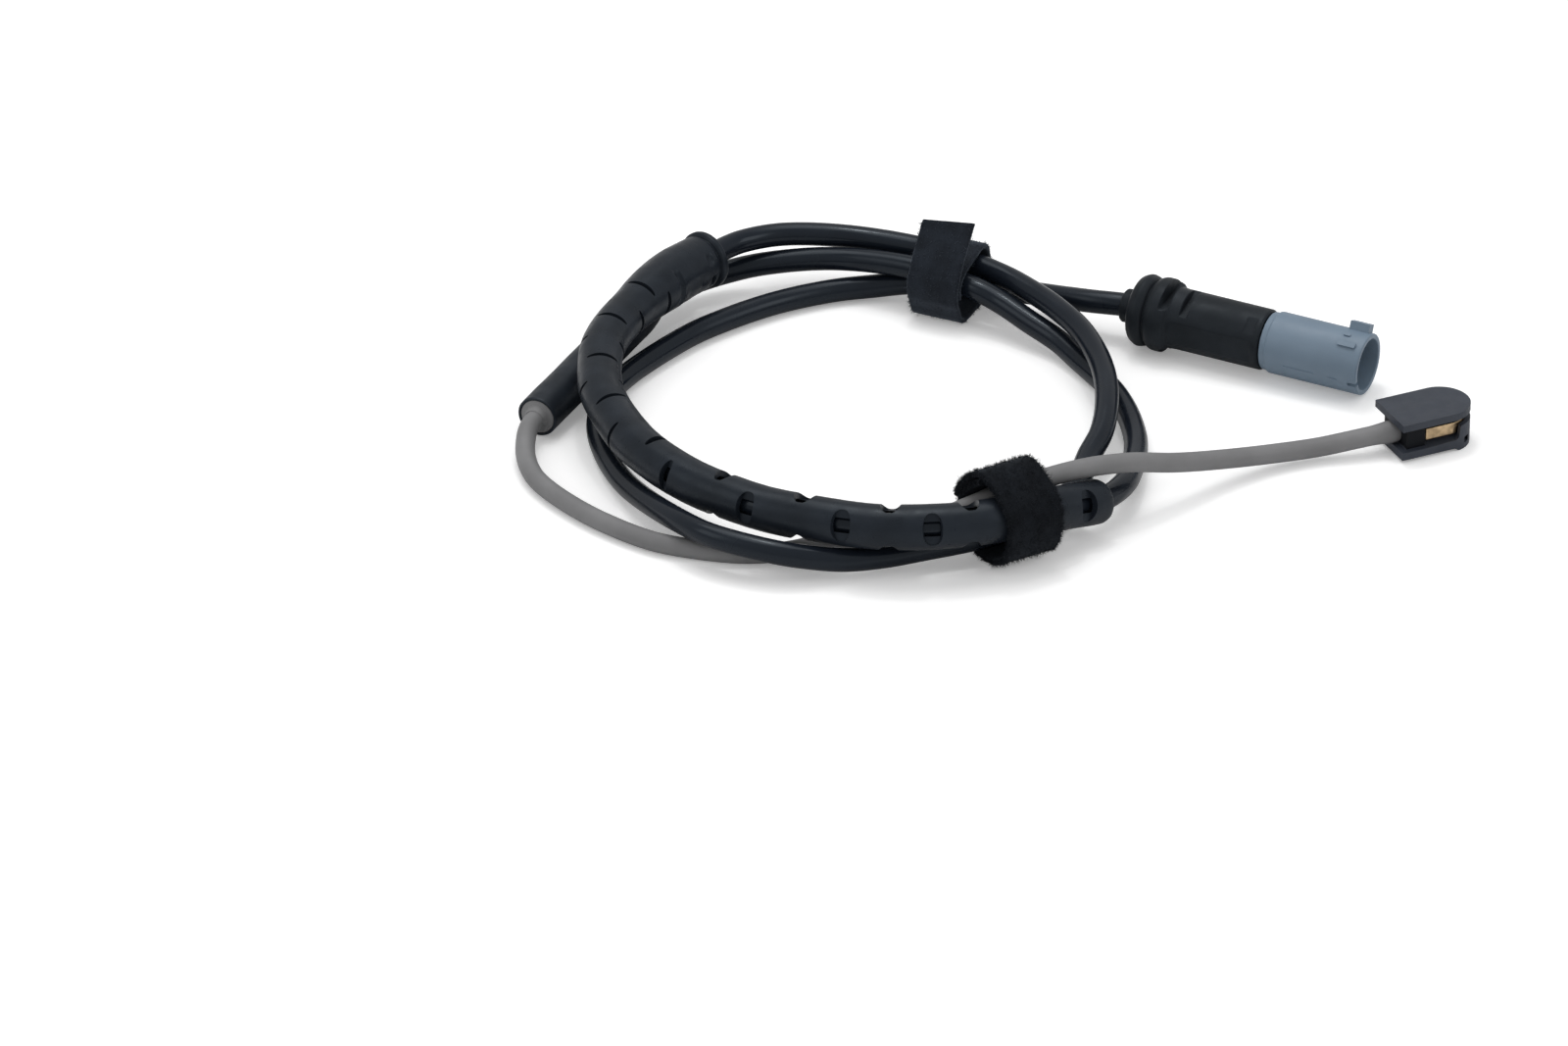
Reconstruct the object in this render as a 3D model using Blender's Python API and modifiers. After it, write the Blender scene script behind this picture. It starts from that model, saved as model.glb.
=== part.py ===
"""Brake pad wear sensor: plug, looped cable in a slotted sleeve, splice, grey lead and fork head.

The origin is on the surface that the sensor lies on, under the middle of its rigid pieces.
"""

import math

import bmesh
import bpy
import numpy as np
from mathutils import Euler, Matrix, Vector
from mathutils.geometry import convex_hull_2d

MM = 0.001
CLEARANCE = 0.3 * MM        # what neighbouring pieces keep between them
SMALL_STEP = 0.05 * MM      # how far a cutter reaches past the face it cuts

# Cables
CABLE_DIAMETER = 5.0 * MM
LEAD_DIAMETER = 4.1 * MM
CORE_DIAMETER = 1.4 * MM
CHORD_SAG = 0.22 * MM       # how far a tube's straight runs may leave the smooth route
LONGEST_CHORD = 2.9         # in cable diameters

# Route of the black cable, from the plug to the splice, in millimetres
RUN_UNDER_SLEEVE = [
    (25.0, 41.4, 7.9), (21.0, 43.0, 7.5), (8.4, 51.2, 5.0), (1.2, 54.7, 4.5), (-5.0, 56.1, 4.3),
    (-15.8, 57.0, 4.3), (-24.8, 57.7, 3.0), (-33.1, 56.5, 2.6), (-45.6, 50.9, 2.6), (-58.4, 41.6, 2.6),
    (-64.5, 35.6, 2.6), (-76.1, 20.0, 2.6), (-80.2, 11.2, 2.6), (-81.9, 1.6, 2.6), (-81.3, -8.7, 2.6),
    (-76.1, -26.5, 3.1), (-63.4, -50.0, 6.9), (-57.4, -56.0, 7.4), (-45.5, -60.7, 6.6), (-39.5, -60.9, 5.6),
    (-31.6, -59.7, 4.2), (-23.7, -57.2, 3.5), (-13.7, -54.1, 3.8), (-5.2, -51.6, 4.3), (0.6, -48.7, 4.5)]
LOOP_TO_FLANGE = [
    (7.9, -43.0, 4.6), (13.1, -36.8, 4.6), (16.6, -29.3, 4.9), (19.0, -20.1, 5.6), (21.8, -12.1, 6.6),
    (23.1, -4.0, 7.6), (23.3, 6.2, 8.4), (21.9, 16.7, 8.8), (18.7, 27.2, 9.2), (14.1, 35.7, 9.5),
    (8.1, 43.9, 9.7), (2.1, 50.3, 9.9), (-10.2, 58.9, 10.4), (-28.9, 64.6, 11.2), (-43.5, 64.3, 12.0),
    (-51.8, 60.9, 12.3), (-56.0, 57.4, 12.4)]
RUN_IN_SLEEVE = [
    (-59.7, 52.6, 12.5), (-63.1, 48.6, 12.7), (-70.7, 37.5, 13.2), (-78.3, 22.0, 13.4), (-80.8, 14.5, 13.1),
    (-81.7, 7.0, 12.6), (-80.7, -6.1, 11.8), (-73.4, -24.9, 11.1), (-63.4, -38.2, 10.8), (-51.4, -48.0, 10.7),
    (-41.5, -53.3, 10.9), (-22.8, -59.1, 11.5), (-5.6, -58.1, 11.6), (3.0, -54.3, 11.1), (13.2, -46.5, 8.8),
    (21.1, -39.2, 6.4)]
LOOP_TO_SPLICE = [
    (25.6, -31.6, 5.3), (27.6, -23.9, 4.3), (29.1, -7.4, 2.8), (25.9, 10.5, 2.6), (18.3, 26.1, 2.8),
    (14.1, 32.5, 3.7), (8.1, 38.0, 5.3), (2.0, 43.2, 7.2), (-3.2, 46.4, 8.6), (-15.9, 54.3, 9.3),
    (-33.1, 60.8, 8.0), (-47.7, 61.3, 6.5), (-56.0, 60.0, 5.1), (-64.3, 55.4, 4.5), (-68.0, 51.7, 4.5)]

# Route of the grey lead, from the splice to the head, in millimetres
LEAD_RUN = [
    (-96.2, -5.5, 4.3), (-96.8, -9.7, 3.6), (-96.7, -14.4, 2.6), (-95.1, -21.2, 2.15), (-92.1, -27.1, 2.1),
    (-83.5, -37.8, 2.1), (-73.4, -46.5, 2.1), (-67.4, -49.9, 2.1), (-55.4, -53.3, 2.1), (-49.5, -53.7, 2.1),
    (-42.5, -52.5, 2.1), (-33.6, -48.9, 2.3), (-23.6, -46.9, 3.2), (-14.7, -47.8, 6.0), (-6.2, -48.4, 10.0),
    (0.2, -46.7, 12.2), (11.2, -41.8, 13.5), (18.3, -38.9, 13.8), (26.4, -35.0, 12.7), (36.6, -28.5, 9.0),
    (47.0, -20.7, 5.4), (57.4, -14.9, 3.4), (66.7, -11.7, 3.1), (73.8, -10.1, 3.9)]

# Plug: stations run from its cable end to its mouth
PLUG_END = Vector((28.3, 40.4, 8.0)) * MM
PLUG_TURN = math.radians(-26.3)
PLUG_DIP = math.radians(0.7)
PLUG_LENGTH = 55.7 * MM
BODY_LENGTH = 33.0 * MM
BODY_RADIUS = 6.5 * MM
BODY_WALL = 1.6 * MM
RIB_RADIUS = 7.8 * MM
COLLAR_RADIUS = 3.6 * MM
CABLE_IN_PLUG = 13.0 * MM
GRIP_SLOT_WIDTH = 2.0 * MM
GRIP_SLOT_DEPTH = 1.6 * MM
GRIP_SLOT_LENGTH = 6.4 * MM
GRIP_SLOT_STATIONS = (10.6 * MM, 15.0 * MM)
SHROUD_RADIUS = 6.6 * MM
SHROUD_WALL = 1.1 * MM
SOCKET_DEPTH = 13.5 * MM
SOCKET_FLOOR = 3.5 * MM
SPIGOT_LENGTH = 6.0 * MM
KEY_LENGTH = 4.4 * MM
KEY_WIDTH = 2.6 * MM
KEY_HEIGHT = 1.7 * MM
KEY_BACK = 0.9 * MM         # from the rim to the key
PIN_DIAMETER = 1.5 * MM
PIN_SPACING = 4.4 * MM
PIN_REACH = 6.6 * MM        # from the socket's floor to the pin's tip
PIN_TAIL = 5.0 * MM         # from the back of the socket's floor to the tail's end
BARREL_DIAMETER = 2.6 * MM
BARREL_LENGTH = 4.0 * MM

# Protective sleeve over the cable
SLEEVE_RADIUS = 4.6 * MM
SLEEVE_WALL = 1.2 * MM
LIP_RADIUS = 6.2 * MM
LIP_WIDTH = 1.5 * MM
MOUTH_LENGTH = 32.0 * MM
RING_PITCH = 3.4 * MM
SLOT_HEIGHT = 6.6 * MM
CLOSED_SLOT_WIDTH = 1.4 * MM
OPEN_SLOT_WIDTH = 4.5 * MM
SLOTS_START_TO_OPEN = 70.0 * MM     # stations between which the slots grow to their open width
SLOTS_ALL_OPEN = 118.0 * MM
FIRST_SLOT = 21.6 * MM
FIRST_PITCH = 5.6 * MM
PITCH_GROWTH = 0.55 * MM            # how much wider each of the first pitches is than the one before
GROWING_PITCHES = 8
EVEN_PITCHES = 12
LAST_SLOT_TO_END = 6.0 * MM

# Splice
SPLICE_TOP = Vector((-72.7, 45.5, 4.5)) * MM
SPLICE_TURN = math.radians(-115.0)
SPLICE_LENGTH = 51.9 * MM
SPLICE_RADIUS = 4.4 * MM
SPLICE_WALL = 1.1 * MM
SPLICE_NECK = 4.0 * MM
CABLE_IN_SPLICE = 8.0 * MM
SEAL_LENGTH = 5.0 * MM
CRIMP_LENGTH = 9.0 * MM
CRIMP_WALL = 0.3 * MM
CORE_IN_CRIMP = 3.6 * MM

# Fork head: its place is the middle of its back edge on the surface
HEAD_BACK = Vector((81.4, -7.7, 0.0)) * MM
HEAD_TURN = math.radians(24.9)
HEAD_LENGTH = 18.2 * MM
HEAD_WIDTH = 12.4 * MM
HEAD_HEIGHT = 8.9 * MM
TOP_PLATE = 1.6 * MM
LOW_PLATE = 1.7 * MM
FOOT_STEP = 0.7 * MM
ARM_RISE = 0.35 * MM         # how much the lower arm thickens towards the nose
RIM_HEIGHT = 3.3 * MM        # of the nose's rim over the lower arm's back
RIM_REACH = 4.6 * MM
RIM_WALL = 1.0 * MM
WEB_START = 1.6 * MM
WEB_LENGTH = 4.2 * MM
WEB_INSET = 1.3 * MM        # from the arms' sides to the web's
LEAD_IN_WEB = 3.0 * MM
TROUGH_WIDTH = 3.8 * MM
TROUGH_LENGTH = 14.0 * MM
LOOP_DIAMETER = 0.9 * MM
LOOP_RADIUS = 1.1 * MM
STRIP_THICKNESS = 0.4 * MM
STRIP_HEIGHT = 2.5 * MM

# Cable straps
UPPER_STRAP = Vector((-8.6, 52.9, 7.8)) * MM
UPPER_STRAP_TURN = math.radians(-25.0)
UPPER_STRAP_WIDTH = 11.6 * MM
UPPER_STRAP_THICKNESS = 1.1 * MM
STRAP_SLACK = (-3.4 * MM, -4.3 * MM, 2.3 * MM)      # across, up and radius of the loose corner
TAIL_BEND = 4.2 * MM        # height of the tail's bend over the strap's middle
TAIL_TOP = 12.5 * MM
TAIL_LEAN = 6.5 * MM
TAIL_SLANT = 1.5 * MM        # how much further one corner of its end reaches
LOWER_STRAP = Vector((2.8, -50.9, 9.6)) * MM
LOWER_STRAP_TURN = math.radians(31.0)
LOWER_STRAP_WIDTH = 12.8 * MM
LOWER_STRAP_THICKNESS = 1.3 * MM
LOWER_STRAP_ROUND = 7.7 * MM
STRAP_REACH = 16.0 * MM      # how far from a strap's middle a cable may be to be held by it
LIFT_START, LIFT_LENGTH = 0.84, 0.15    # shares of the turn in which a strap lifts over its start


def clear_scene():
    for item in list(bpy.data.objects):
        bpy.data.objects.remove(item, do_unlink=True)


def collection(name):
    made = bpy.data.collections.new(name)
    bpy.context.scene.collection.children.link(made)
    return made


def material(name, colour, roughness, metallic=0.0):
    made = bpy.data.materials.new(name)
    made.use_nodes = True
    shader = made.node_tree.nodes["Principled BSDF"]
    shader.inputs["Base Color"].default_value = (*colour, 1.0)
    shader.inputs["Roughness"].default_value = roughness
    shader.inputs["Metallic"].default_value = metallic
    made.diffuse_color = (*colour, 1.0)
    return made


clear_scene()
PART = collection("brake_pad_wear_sensor")
CUTTERS = collection("cutters")
BLACK_JACKET = material("black_jacket", (0.018, 0.023, 0.03), 0.3)
GREY_JACKET = material("grey_jacket", (0.18, 0.18, 0.18), 0.55)
BLACK_RUBBER = material("black_rubber", (0.014, 0.015, 0.017), 0.45)
BLACK_PLASTIC = material("black_plastic", (0.022, 0.025, 0.03), 0.5)
GREY_PLASTIC = material("grey_plastic", (0.16, 0.22, 0.29), 0.5)
HEAD_PLASTIC = material("head_plastic", (0.04, 0.046, 0.058), 0.55)
STRAP_CLOTH = material("strap_cloth", (0.014, 0.016, 0.02), 0.9)
BRASS = material("brass", (0.58, 0.42, 0.24), 0.35, 1.0)
TIN = material("tin", (0.6, 0.6, 0.58), 0.3, 1.0)
CORE_PLASTIC = material("core_insulation", (0.05, 0.05, 0.055), 0.5)


def place_object(name, data, skin=None, parent=None, group=PART):
    made = bpy.data.objects.new(name, data)
    group.objects.link(made)
    if skin is not None:
        data.materials.append(skin)
    if parent is not None:
        made.parent = parent
    return made


def anchor(name, place, turn, dip=0.0):
    """An empty that a group of pieces is built on, its X axis along the group."""
    made = place_object(name, None, group=CUTTERS)
    made.location = place
    made.rotation_euler = Euler((0.0, dip, turn))
    made.hide_render = True
    return made


def along(anchor_object, station, across=0.0, up=0.0):
    """World place of a point given on an anchor's own axes."""
    turn = anchor_object.rotation_euler.to_matrix()
    return anchor_object.location + turn @ Vector((station, across, up))


def mesh_object(name, shape, skin=None, parent=None, group=PART, smooth=True):
    bmesh.ops.recalc_face_normals(shape, faces=shape.faces)
    data = bpy.data.meshes.new(name)
    shape.to_mesh(data)
    shape.free()
    made = place_object(name, data, skin, parent, group)
    if smooth:
        data.shade_smooth()
        data.set_sharp_from_angle(angle=math.radians(35))
    return made


def as_cutter(made):
    made.hide_render = True
    made.display_type = "WIRE"
    return made


def boolean(target, tool, operation="DIFFERENCE"):
    step = target.modifiers.new(tool.name, "BOOLEAN")
    step.operation = operation
    step.object = tool
    step.solver = "EXACT"
    as_cutter(tool)


def smooth_route(points):
    """Centripetal curve through the points, and the index of each given point on it."""
    knots = [Vector(p) for p in points]
    knots = [knots[0] * 2 - knots[1], *knots, knots[-1] * 2 - knots[-2]]
    curve, marks = [], []
    for i in range(1, len(knots) - 2):
        a, b, c, d = knots[i - 1:i + 3]
        t1 = (b - a).length ** 0.5
        t2 = t1 + (c - b).length ** 0.5
        t3 = t2 + (d - c).length ** 0.5
        marks.append(len(curve))
        count = max(2, round((c - b).length / (0.5 * MM)))
        for k in range(count):
            t = t1 + (t2 - t1) * k / count
            p = a.lerp(b, t / t1)
            q = b.lerp(c, (t - t1) / (t2 - t1))
            r = c.lerp(d, (t - t2) / (t3 - t2))
            p = p.lerp(q, t / t2)
            q = q.lerp(r, (t - t1) / (t3 - t1))
            curve.append(p.lerp(q, (t - t1) / (t2 - t1)))
    marks.append(len(curve))
    curve.append(knots[-2])
    return curve, marks


def chord_points(curve, diameter):
    """Points of the curve, as far apart as the sag and the longest chord let them be."""
    picked = [0]
    while picked[-1] < len(curve) - 1:
        start = picked[-1]
        best = start + 1
        for end in range(start + 2, len(curve)):
            chord = curve[end] - curve[start]
            middle = curve[(start + end) // 2] - curve[start]
            sag = (middle - middle.project(chord)).length
            if sag > CHORD_SAG or chord.length > LONGEST_CHORD * diameter:
                break
            best = end
        picked.append(best)
    if len(picked) > 3 and picked[-1] - picked[-2] < 4:
        picked.pop(-2)
    return [curve[i] for i in picked]


def tube(name, points, diameter, skin, parent=None, resolution=2, radii=None, caps=True):
    """A round wire or cable along the points."""
    data = bpy.data.curves.new(name, "CURVE")
    data.dimensions = "3D"
    data.bevel_depth = diameter / 2
    data.bevel_resolution = resolution
    data.use_fill_caps = caps
    spline = data.splines.new("POLY")
    spline.points.add(len(points) - 1)
    for i, (knot, point) in enumerate(zip(spline.points, points)):
        knot.co = (*point, 1.0)
        knot.radius = 1.0 if radii is None else radii[i]
    return place_object(name, data, skin, parent)


def curve_to_mesh(made):
    """The curve's evaluated mesh, welded, on a new object in its place."""
    graph = bpy.context.evaluated_depsgraph_get()
    data = bpy.data.meshes.new_from_object(made.evaluated_get(graph))
    shape = bmesh.new()
    shape.from_mesh(data)
    bmesh.ops.remove_doubles(shape, verts=shape.verts, dist=0.01 * MM)
    bmesh.ops.recalc_face_normals(shape, faces=shape.faces)
    shape.to_mesh(data)
    shape.free()
    name, world, skin, parent = made.name, made.matrix_world.copy(), made.data.materials[0], made.parent
    bpy.data.objects.remove(made, do_unlink=True)
    data.materials.clear()
    welded = place_object(name, data, skin, parent)
    welded.matrix_world = world
    data.shade_smooth()
    data.set_sharp_from_angle(angle=math.radians(35))
    return welded


def turned(name, profile, skin, parent, segments=28, group=PART, across=0.0, up=0.0):
    """A closed profile of (station, radius) spun about the anchor's X axis."""
    shape = bmesh.new()
    ring = [shape.verts.new((station, across, up + radius)) for station, radius in profile]
    edges = [shape.edges.new((ring[i - 1], ring[i])) for i in range(len(ring))
             if profile[i - 1][1] > 0.0 or profile[i][1] > 0.0]
    bmesh.ops.spin(shape, geom=ring + edges, cent=(0.0, across, up), axis=(1.0, 0.0, 0.0),
                   steps=segments, angle=math.tau, use_merge=True)
    bmesh.ops.remove_doubles(shape, verts=shape.verts, dist=0.001 * MM)
    return mesh_object(name, shape, skin, parent, group)


def block(name, low, high, parent, bevel=0.0, group=CUTTERS):
    """A box between two corners on the anchor's axes."""
    shape = bmesh.new()
    middle = (Vector(low) + Vector(high)) / 2
    size = Vector(high) - Vector(low)
    bmesh.ops.create_cube(shape, size=1.0, matrix=Matrix.Translation(middle) @ Matrix.Diagonal((*size, 1.0)))
    if bevel:
        bmesh.ops.bevel(shape, geom=shape.edges, offset=bevel, segments=2, affect="EDGES")
    return mesh_object(name, shape, parent=parent, group=group, smooth=False)


def flat_outline(points, depth, direction, name, parent, group=CUTTERS):
    """A closed outline of points carried along a direction."""
    shape = bmesh.new()
    face = shape.faces.new([shape.verts.new(p) for p in points])
    made = bmesh.ops.extrude_face_region(shape, geom=[face])
    moved = [item for item in made["geom"] if isinstance(item, bmesh.types.BMVert)]
    bmesh.ops.translate(shape, verts=moved, vec=Vector(direction) * depth)
    return mesh_object(name, shape, parent=parent, group=group, smooth=False)


# Anchors of the plug, the splice and the head
PLUG = anchor("plug_place", PLUG_END, PLUG_TURN, PLUG_DIP)
SPLICE = anchor("splice_place", SPLICE_TOP, SPLICE_TURN)
HEAD = anchor("head_place", HEAD_BACK, HEAD_TURN)
LEAD_HEIGHT = HEAD_HEIGHT / 2


def metres(points):
    return [Vector(p) * MM for p in points]


def black_route():
    """The black cable's smooth curve, and the indices where the sleeve starts and ends on it."""
    before = [along(PLUG, CABLE_IN_PLUG), along(PLUG, CABLE_IN_PLUG / 2), along(PLUG, 0.0)]
    before += metres(RUN_UNDER_SLEEVE) + metres(LOOP_TO_FLANGE)
    inside = metres(RUN_IN_SLEEVE)
    after = metres(LOOP_TO_SPLICE)
    after += [along(SPLICE, 0.0), along(SPLICE, CABLE_IN_SPLICE)]
    curve, marks = smooth_route(before + inside + after)
    return curve, marks[len(before)], marks[len(before) + len(inside) - 1]


def lead_route():
    ends = [along(SPLICE, SPLICE_LENGTH - CABLE_IN_SPLICE), along(SPLICE, SPLICE_LENGTH)]
    web = WEB_START + LEAD_IN_WEB
    head = [along(HEAD, 0.0, 0.0, LEAD_HEIGHT), along(HEAD, web, 0.0, LEAD_HEIGHT)]
    return smooth_route(ends + metres(LEAD_RUN) + head)[0]


BLACK_CURVE, SLEEVE_FROM, SLEEVE_TO = black_route()
SLEEVE_CURVE = BLACK_CURVE[SLEEVE_FROM:SLEEVE_TO + 1]
LEAD_CURVE = lead_route()


def make_cables():
    tube("black_cable", chord_points(BLACK_CURVE, CABLE_DIAMETER), CABLE_DIAMETER, BLACK_JACKET)
    tube("grey_cable", chord_points(LEAD_CURVE, LEAD_DIAMETER), LEAD_DIAMETER, GREY_JACKET)


def make_connector_body():
    """Turned rubber body with two grip ribs, slanted grip slots and a stepped bore."""
    bore = CABLE_DIAMETER / 2 + CLEARANCE
    hollow = BODY_RADIUS - BODY_WALL
    end = BODY_LENGTH
    rib = RIB_RADIUS
    neck = CABLE_IN_PLUG + 1.0 * MM
    profile = [
        (0.0, bore), (0.0, COLLAR_RADIUS - 0.3 * MM), (0.4 * MM, COLLAR_RADIUS), (2.0 * MM, COLLAR_RADIUS),
        (2.3 * MM, rib - 2.1 * MM), (2.9 * MM, rib - 0.9 * MM), (3.9 * MM, rib - 0.1 * MM), (4.9 * MM, rib),
        (5.9 * MM, rib - 0.3 * MM), (6.6 * MM, rib - 0.9 * MM), (7.2 * MM, rib - 0.5 * MM),
        (8.4 * MM, rib - 0.1 * MM), (9.8 * MM, rib - 0.1 * MM), (10.9 * MM, rib - 0.4 * MM),
        (11.6 * MM, BODY_RADIUS + 0.1 * MM), (12.4 * MM, BODY_RADIUS),
        (end - 0.4 * MM, BODY_RADIUS), (end, BODY_RADIUS - 0.4 * MM),
        (end, hollow), (neck, hollow), (neck - 1.0 * MM, bore)]
    body = turned("connector_body", profile, BLACK_PLASTIC, PLUG, segments=32)
    for number, station in enumerate(GRIP_SLOT_STATIONS, 1):
        low = BODY_RADIUS - GRIP_SLOT_DEPTH
        slot = block(f"grip_slot_{number}", (-GRIP_SLOT_WIDTH / 2, -GRIP_SLOT_LENGTH / 2, low),
                     (GRIP_SLOT_WIDTH / 2, GRIP_SLOT_LENGTH / 2, rib + 1.0 * MM), PLUG, bevel=0.6 * MM)
        slot.location = (station, 0.0, 0.0)
        slot.rotation_euler = (math.radians(14), 0.0, math.radians(14))
        boolean(body, slot)


def make_connector_shroud():
    """Turned socket with a spigot in the body, a floor that holds the pins, and a key by the rim."""
    start, end = BODY_LENGTH + CLEARANCE, PLUG_LENGTH
    outer, inner = SHROUD_RADIUS, SHROUD_RADIUS - SHROUD_WALL
    floor = end - SOCKET_DEPTH
    back = floor - SOCKET_FLOOR
    spigot = BODY_RADIUS - BODY_WALL - CLEARANCE
    room = PIN_SPACING / 2 + BARREL_DIAMETER / 2 + CLEARANCE
    profile = [
        (start - SPIGOT_LENGTH, room), (start - SPIGOT_LENGTH, spigot), (start, spigot),
        (start, outer - 0.5 * MM), (start + 1.2 * MM, outer - 0.4 * MM), (start + 1.5 * MM, outer),
        (end - 0.3 * MM, outer), (end, outer - 0.3 * MM), (end, inner + 0.1 * MM), (end - 0.4 * MM, inner),
        (floor, inner), (floor, 0.0), (back, 0.0), (back, room)]
    shroud = turned("connector_shroud", profile, GREY_PLASTIC, PLUG, segments=32)
    sink = 0.5 * MM
    raised = (
        ("key", math.radians(-25), end - KEY_BACK - KEY_LENGTH, KEY_LENGTH, KEY_WIDTH, KEY_HEIGHT),
        ("rib", math.radians(32), end - 5.0 * MM, 3.9 * MM, 1.2 * MM, 0.5 * MM),
        ("nub", math.radians(10), end - 4.9 * MM, 1.4 * MM, 0.7 * MM, 0.35 * MM))
    for name, angle, station, length, width, height in raised:
        tab = block(f"shroud_{name}", (station, -width / 2, outer - sink),
                    (station + length, width / 2, outer + height), PLUG)
        tab.rotation_euler = (angle, 0.0, 0.0)
        boolean(shroud, tab, "UNION")
    notch = block("rim_notch", (end - 1.0 * MM, -0.5 * MM, inner - 1.0 * MM),
                  (end + 1.0 * MM, 0.5 * MM, outer + 1.0 * MM), PLUG)
    notch.rotation_euler = (math.radians(118), 0.0, 0.0)
    boolean(shroud, notch)
    hole = PIN_DIAMETER / 2 + CLEARANCE
    for number, side in ((1, -1), (2, 1)):
        bore = turned(f"pin_hole_{number}", [(back - 1.0 * MM, 0.0), (back - 1.0 * MM, hole),
                                             (floor + 1.0 * MM, hole), (floor + 1.0 * MM, 0.0)],
                      None, PLUG, segments=12, group=CUTTERS, across=side * PIN_SPACING / 2)
        boolean(shroud, bore)


def make_pins():
    """Contact pins with crimp barrels, and the cable's cores that run to them."""
    floor = PLUG_LENGTH - SOCKET_DEPTH
    back = floor - SOCKET_FLOOR
    radius, barrel = PIN_DIAMETER / 2, BARREL_DIAMETER / 2
    tail = back - PIN_TAIL
    for number, side in ((1, -1), (2, 1)):
        across = side * PIN_SPACING / 2
        bore = CORE_DIAMETER / 2 + CLEARANCE
        profile = [
            (floor + PIN_REACH, 0.0), (floor + PIN_REACH - 0.2 * MM, radius * 0.55),
            (floor + PIN_REACH - 1.1 * MM, radius), (back - 0.7 * MM, radius), (tail + BARREL_LENGTH, barrel),
            (tail, barrel), (tail, bore), (tail + BARREL_LENGTH - 1.0 * MM, bore),
            (tail + BARREL_LENGTH - 1.0 * MM, 0.0)]
        turned(f"contact_pin_{number}", profile, TIN, PLUG, segments=12, across=across)
        start = CABLE_IN_PLUG + CLEARANCE
        end = tail + BARREL_LENGTH - 1.0 * MM - CLEARANCE
        near = side * 1.2 * MM
        knots = [(start, near, 0.0), (start + 1.5 * MM, near, 0.0), ((start + tail) / 2, (near + across) / 2, 0.0),
                 (tail - 1.0 * MM, across, 0.0), (end, across, 0.0)]
        curve = smooth_route(knots)[0]
        tube(f"plug_core_{number}", chord_points(curve, CORE_DIAMETER * 2), CORE_DIAMETER, CORE_PLASTIC, PLUG)


def sleeve_radius(station):
    """Outer radius of the protective sleeve: lip, groove, swollen mouth, then even."""
    stations = np.array([0.0, LIP_WIDTH, LIP_WIDTH + 0.4 * MM, LIP_WIDTH + 1.4 * MM,
                         0.3 * MOUTH_LENGTH, 0.5 * MOUTH_LENGTH, 0.68 * MOUTH_LENGTH, 0.85 * MOUTH_LENGTH, MOUTH_LENGTH])
    swell = LIP_RADIUS - SLEEVE_RADIUS
    radii = SLEEVE_RADIUS + swell * np.array([1.0, 1.0, 0.55, 0.62, 0.9, 0.8, 0.5, 0.16, 0.0])
    return float(np.interp(station, stations, radii))


def sleeve_stations():
    """Distance of each point of the sleeve's curve from its lip."""
    steps = [0.0]
    for a, b in zip(SLEEVE_CURVE, SLEEVE_CURVE[1:]):
        steps.append(steps[-1] + (b - a).length)
    return np.array(steps)


SLEEVE_STATIONS = sleeve_stations()


def sleeve_point(station):
    """Place and direction on the sleeve's curve at a distance from its lip."""
    i = int(np.clip(np.searchsorted(SLEEVE_STATIONS, station), 1, len(SLEEVE_CURVE) - 1))
    a, b = SLEEVE_CURVE[i - 1], SLEEVE_CURVE[i]
    part = (station - SLEEVE_STATIONS[i - 1]) / (SLEEVE_STATIONS[i] - SLEEVE_STATIONS[i - 1])
    return a.lerp(b, part), (b - a).normalized()


def slot_stations():
    """Stations of the crossed pairs of slots: closest by the mouth, then even up to the sleeve's end."""
    pitches = FIRST_PITCH + PITCH_GROWTH * np.arange(GROWING_PITCHES)
    growing = FIRST_SLOT + np.concatenate([[0.0], np.cumsum(pitches)])
    last = SLEEVE_STATIONS[-1] - LAST_SLOT_TO_END
    return np.concatenate([growing, np.linspace(growing[-1], last, EVEN_PITCHES + 1)[1:]])


def make_sleeve():
    """Moulded sleeve: a tube of changing radius, given its wall, with crossed pairs of slots."""
    length = SLEEVE_STATIONS[-1]
    mouth = [0.0, LIP_WIDTH, LIP_WIDTH + 0.4 * MM, LIP_WIDTH + 1.4 * MM]
    count = round((length - mouth[-1]) / RING_PITCH)
    rings = mouth + [mouth[-1] + (length - mouth[-1]) * (i + 1) / count for i in range(count)]
    points = [sleeve_point(s)[0] for s in rings]
    radii = [sleeve_radius(s) / SLEEVE_RADIUS for s in rings]
    sleeve = curve_to_mesh(tube("protective_sleeve", points, SLEEVE_RADIUS * 2, BLACK_RUBBER,
                                resolution=5, radii=radii, caps=False))
    wall = sleeve.modifiers.new("wall", "SOLIDIFY")
    wall.thickness = SLEEVE_WALL
    wall.offset = -1.0
    shape = bmesh.new()
    for number, station in enumerate(slot_stations()):
        place, forward = sleeve_point(station)
        side = forward.cross(Vector((0.0, 0.0, 1.0))).normalized()
        up = side.cross(forward)
        through, wide = (side, up) if number % 2 == 0 else (up, side)
        turn = Matrix((forward, wide, through)).transposed().to_4x4()
        opening = float(np.interp(station, [SLOTS_START_TO_OPEN, SLOTS_ALL_OPEN],
                                  [CLOSED_SLOT_WIDTH, OPEN_SLOT_WIDTH]))
        size = Matrix.Diagonal((opening / 2, SLOT_HEIGHT / 2, 3.0 * SLEEVE_RADIUS, 1.0))
        bmesh.ops.create_cone(shape, cap_ends=True, segments=12, radius1=1.0, radius2=1.0, depth=1.0,
                              matrix=Matrix.Translation(place) @ turn @ size)
    slots = mesh_object("sleeve_slots", shape, group=CUTTERS)
    boolean(sleeve, slots)


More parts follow.
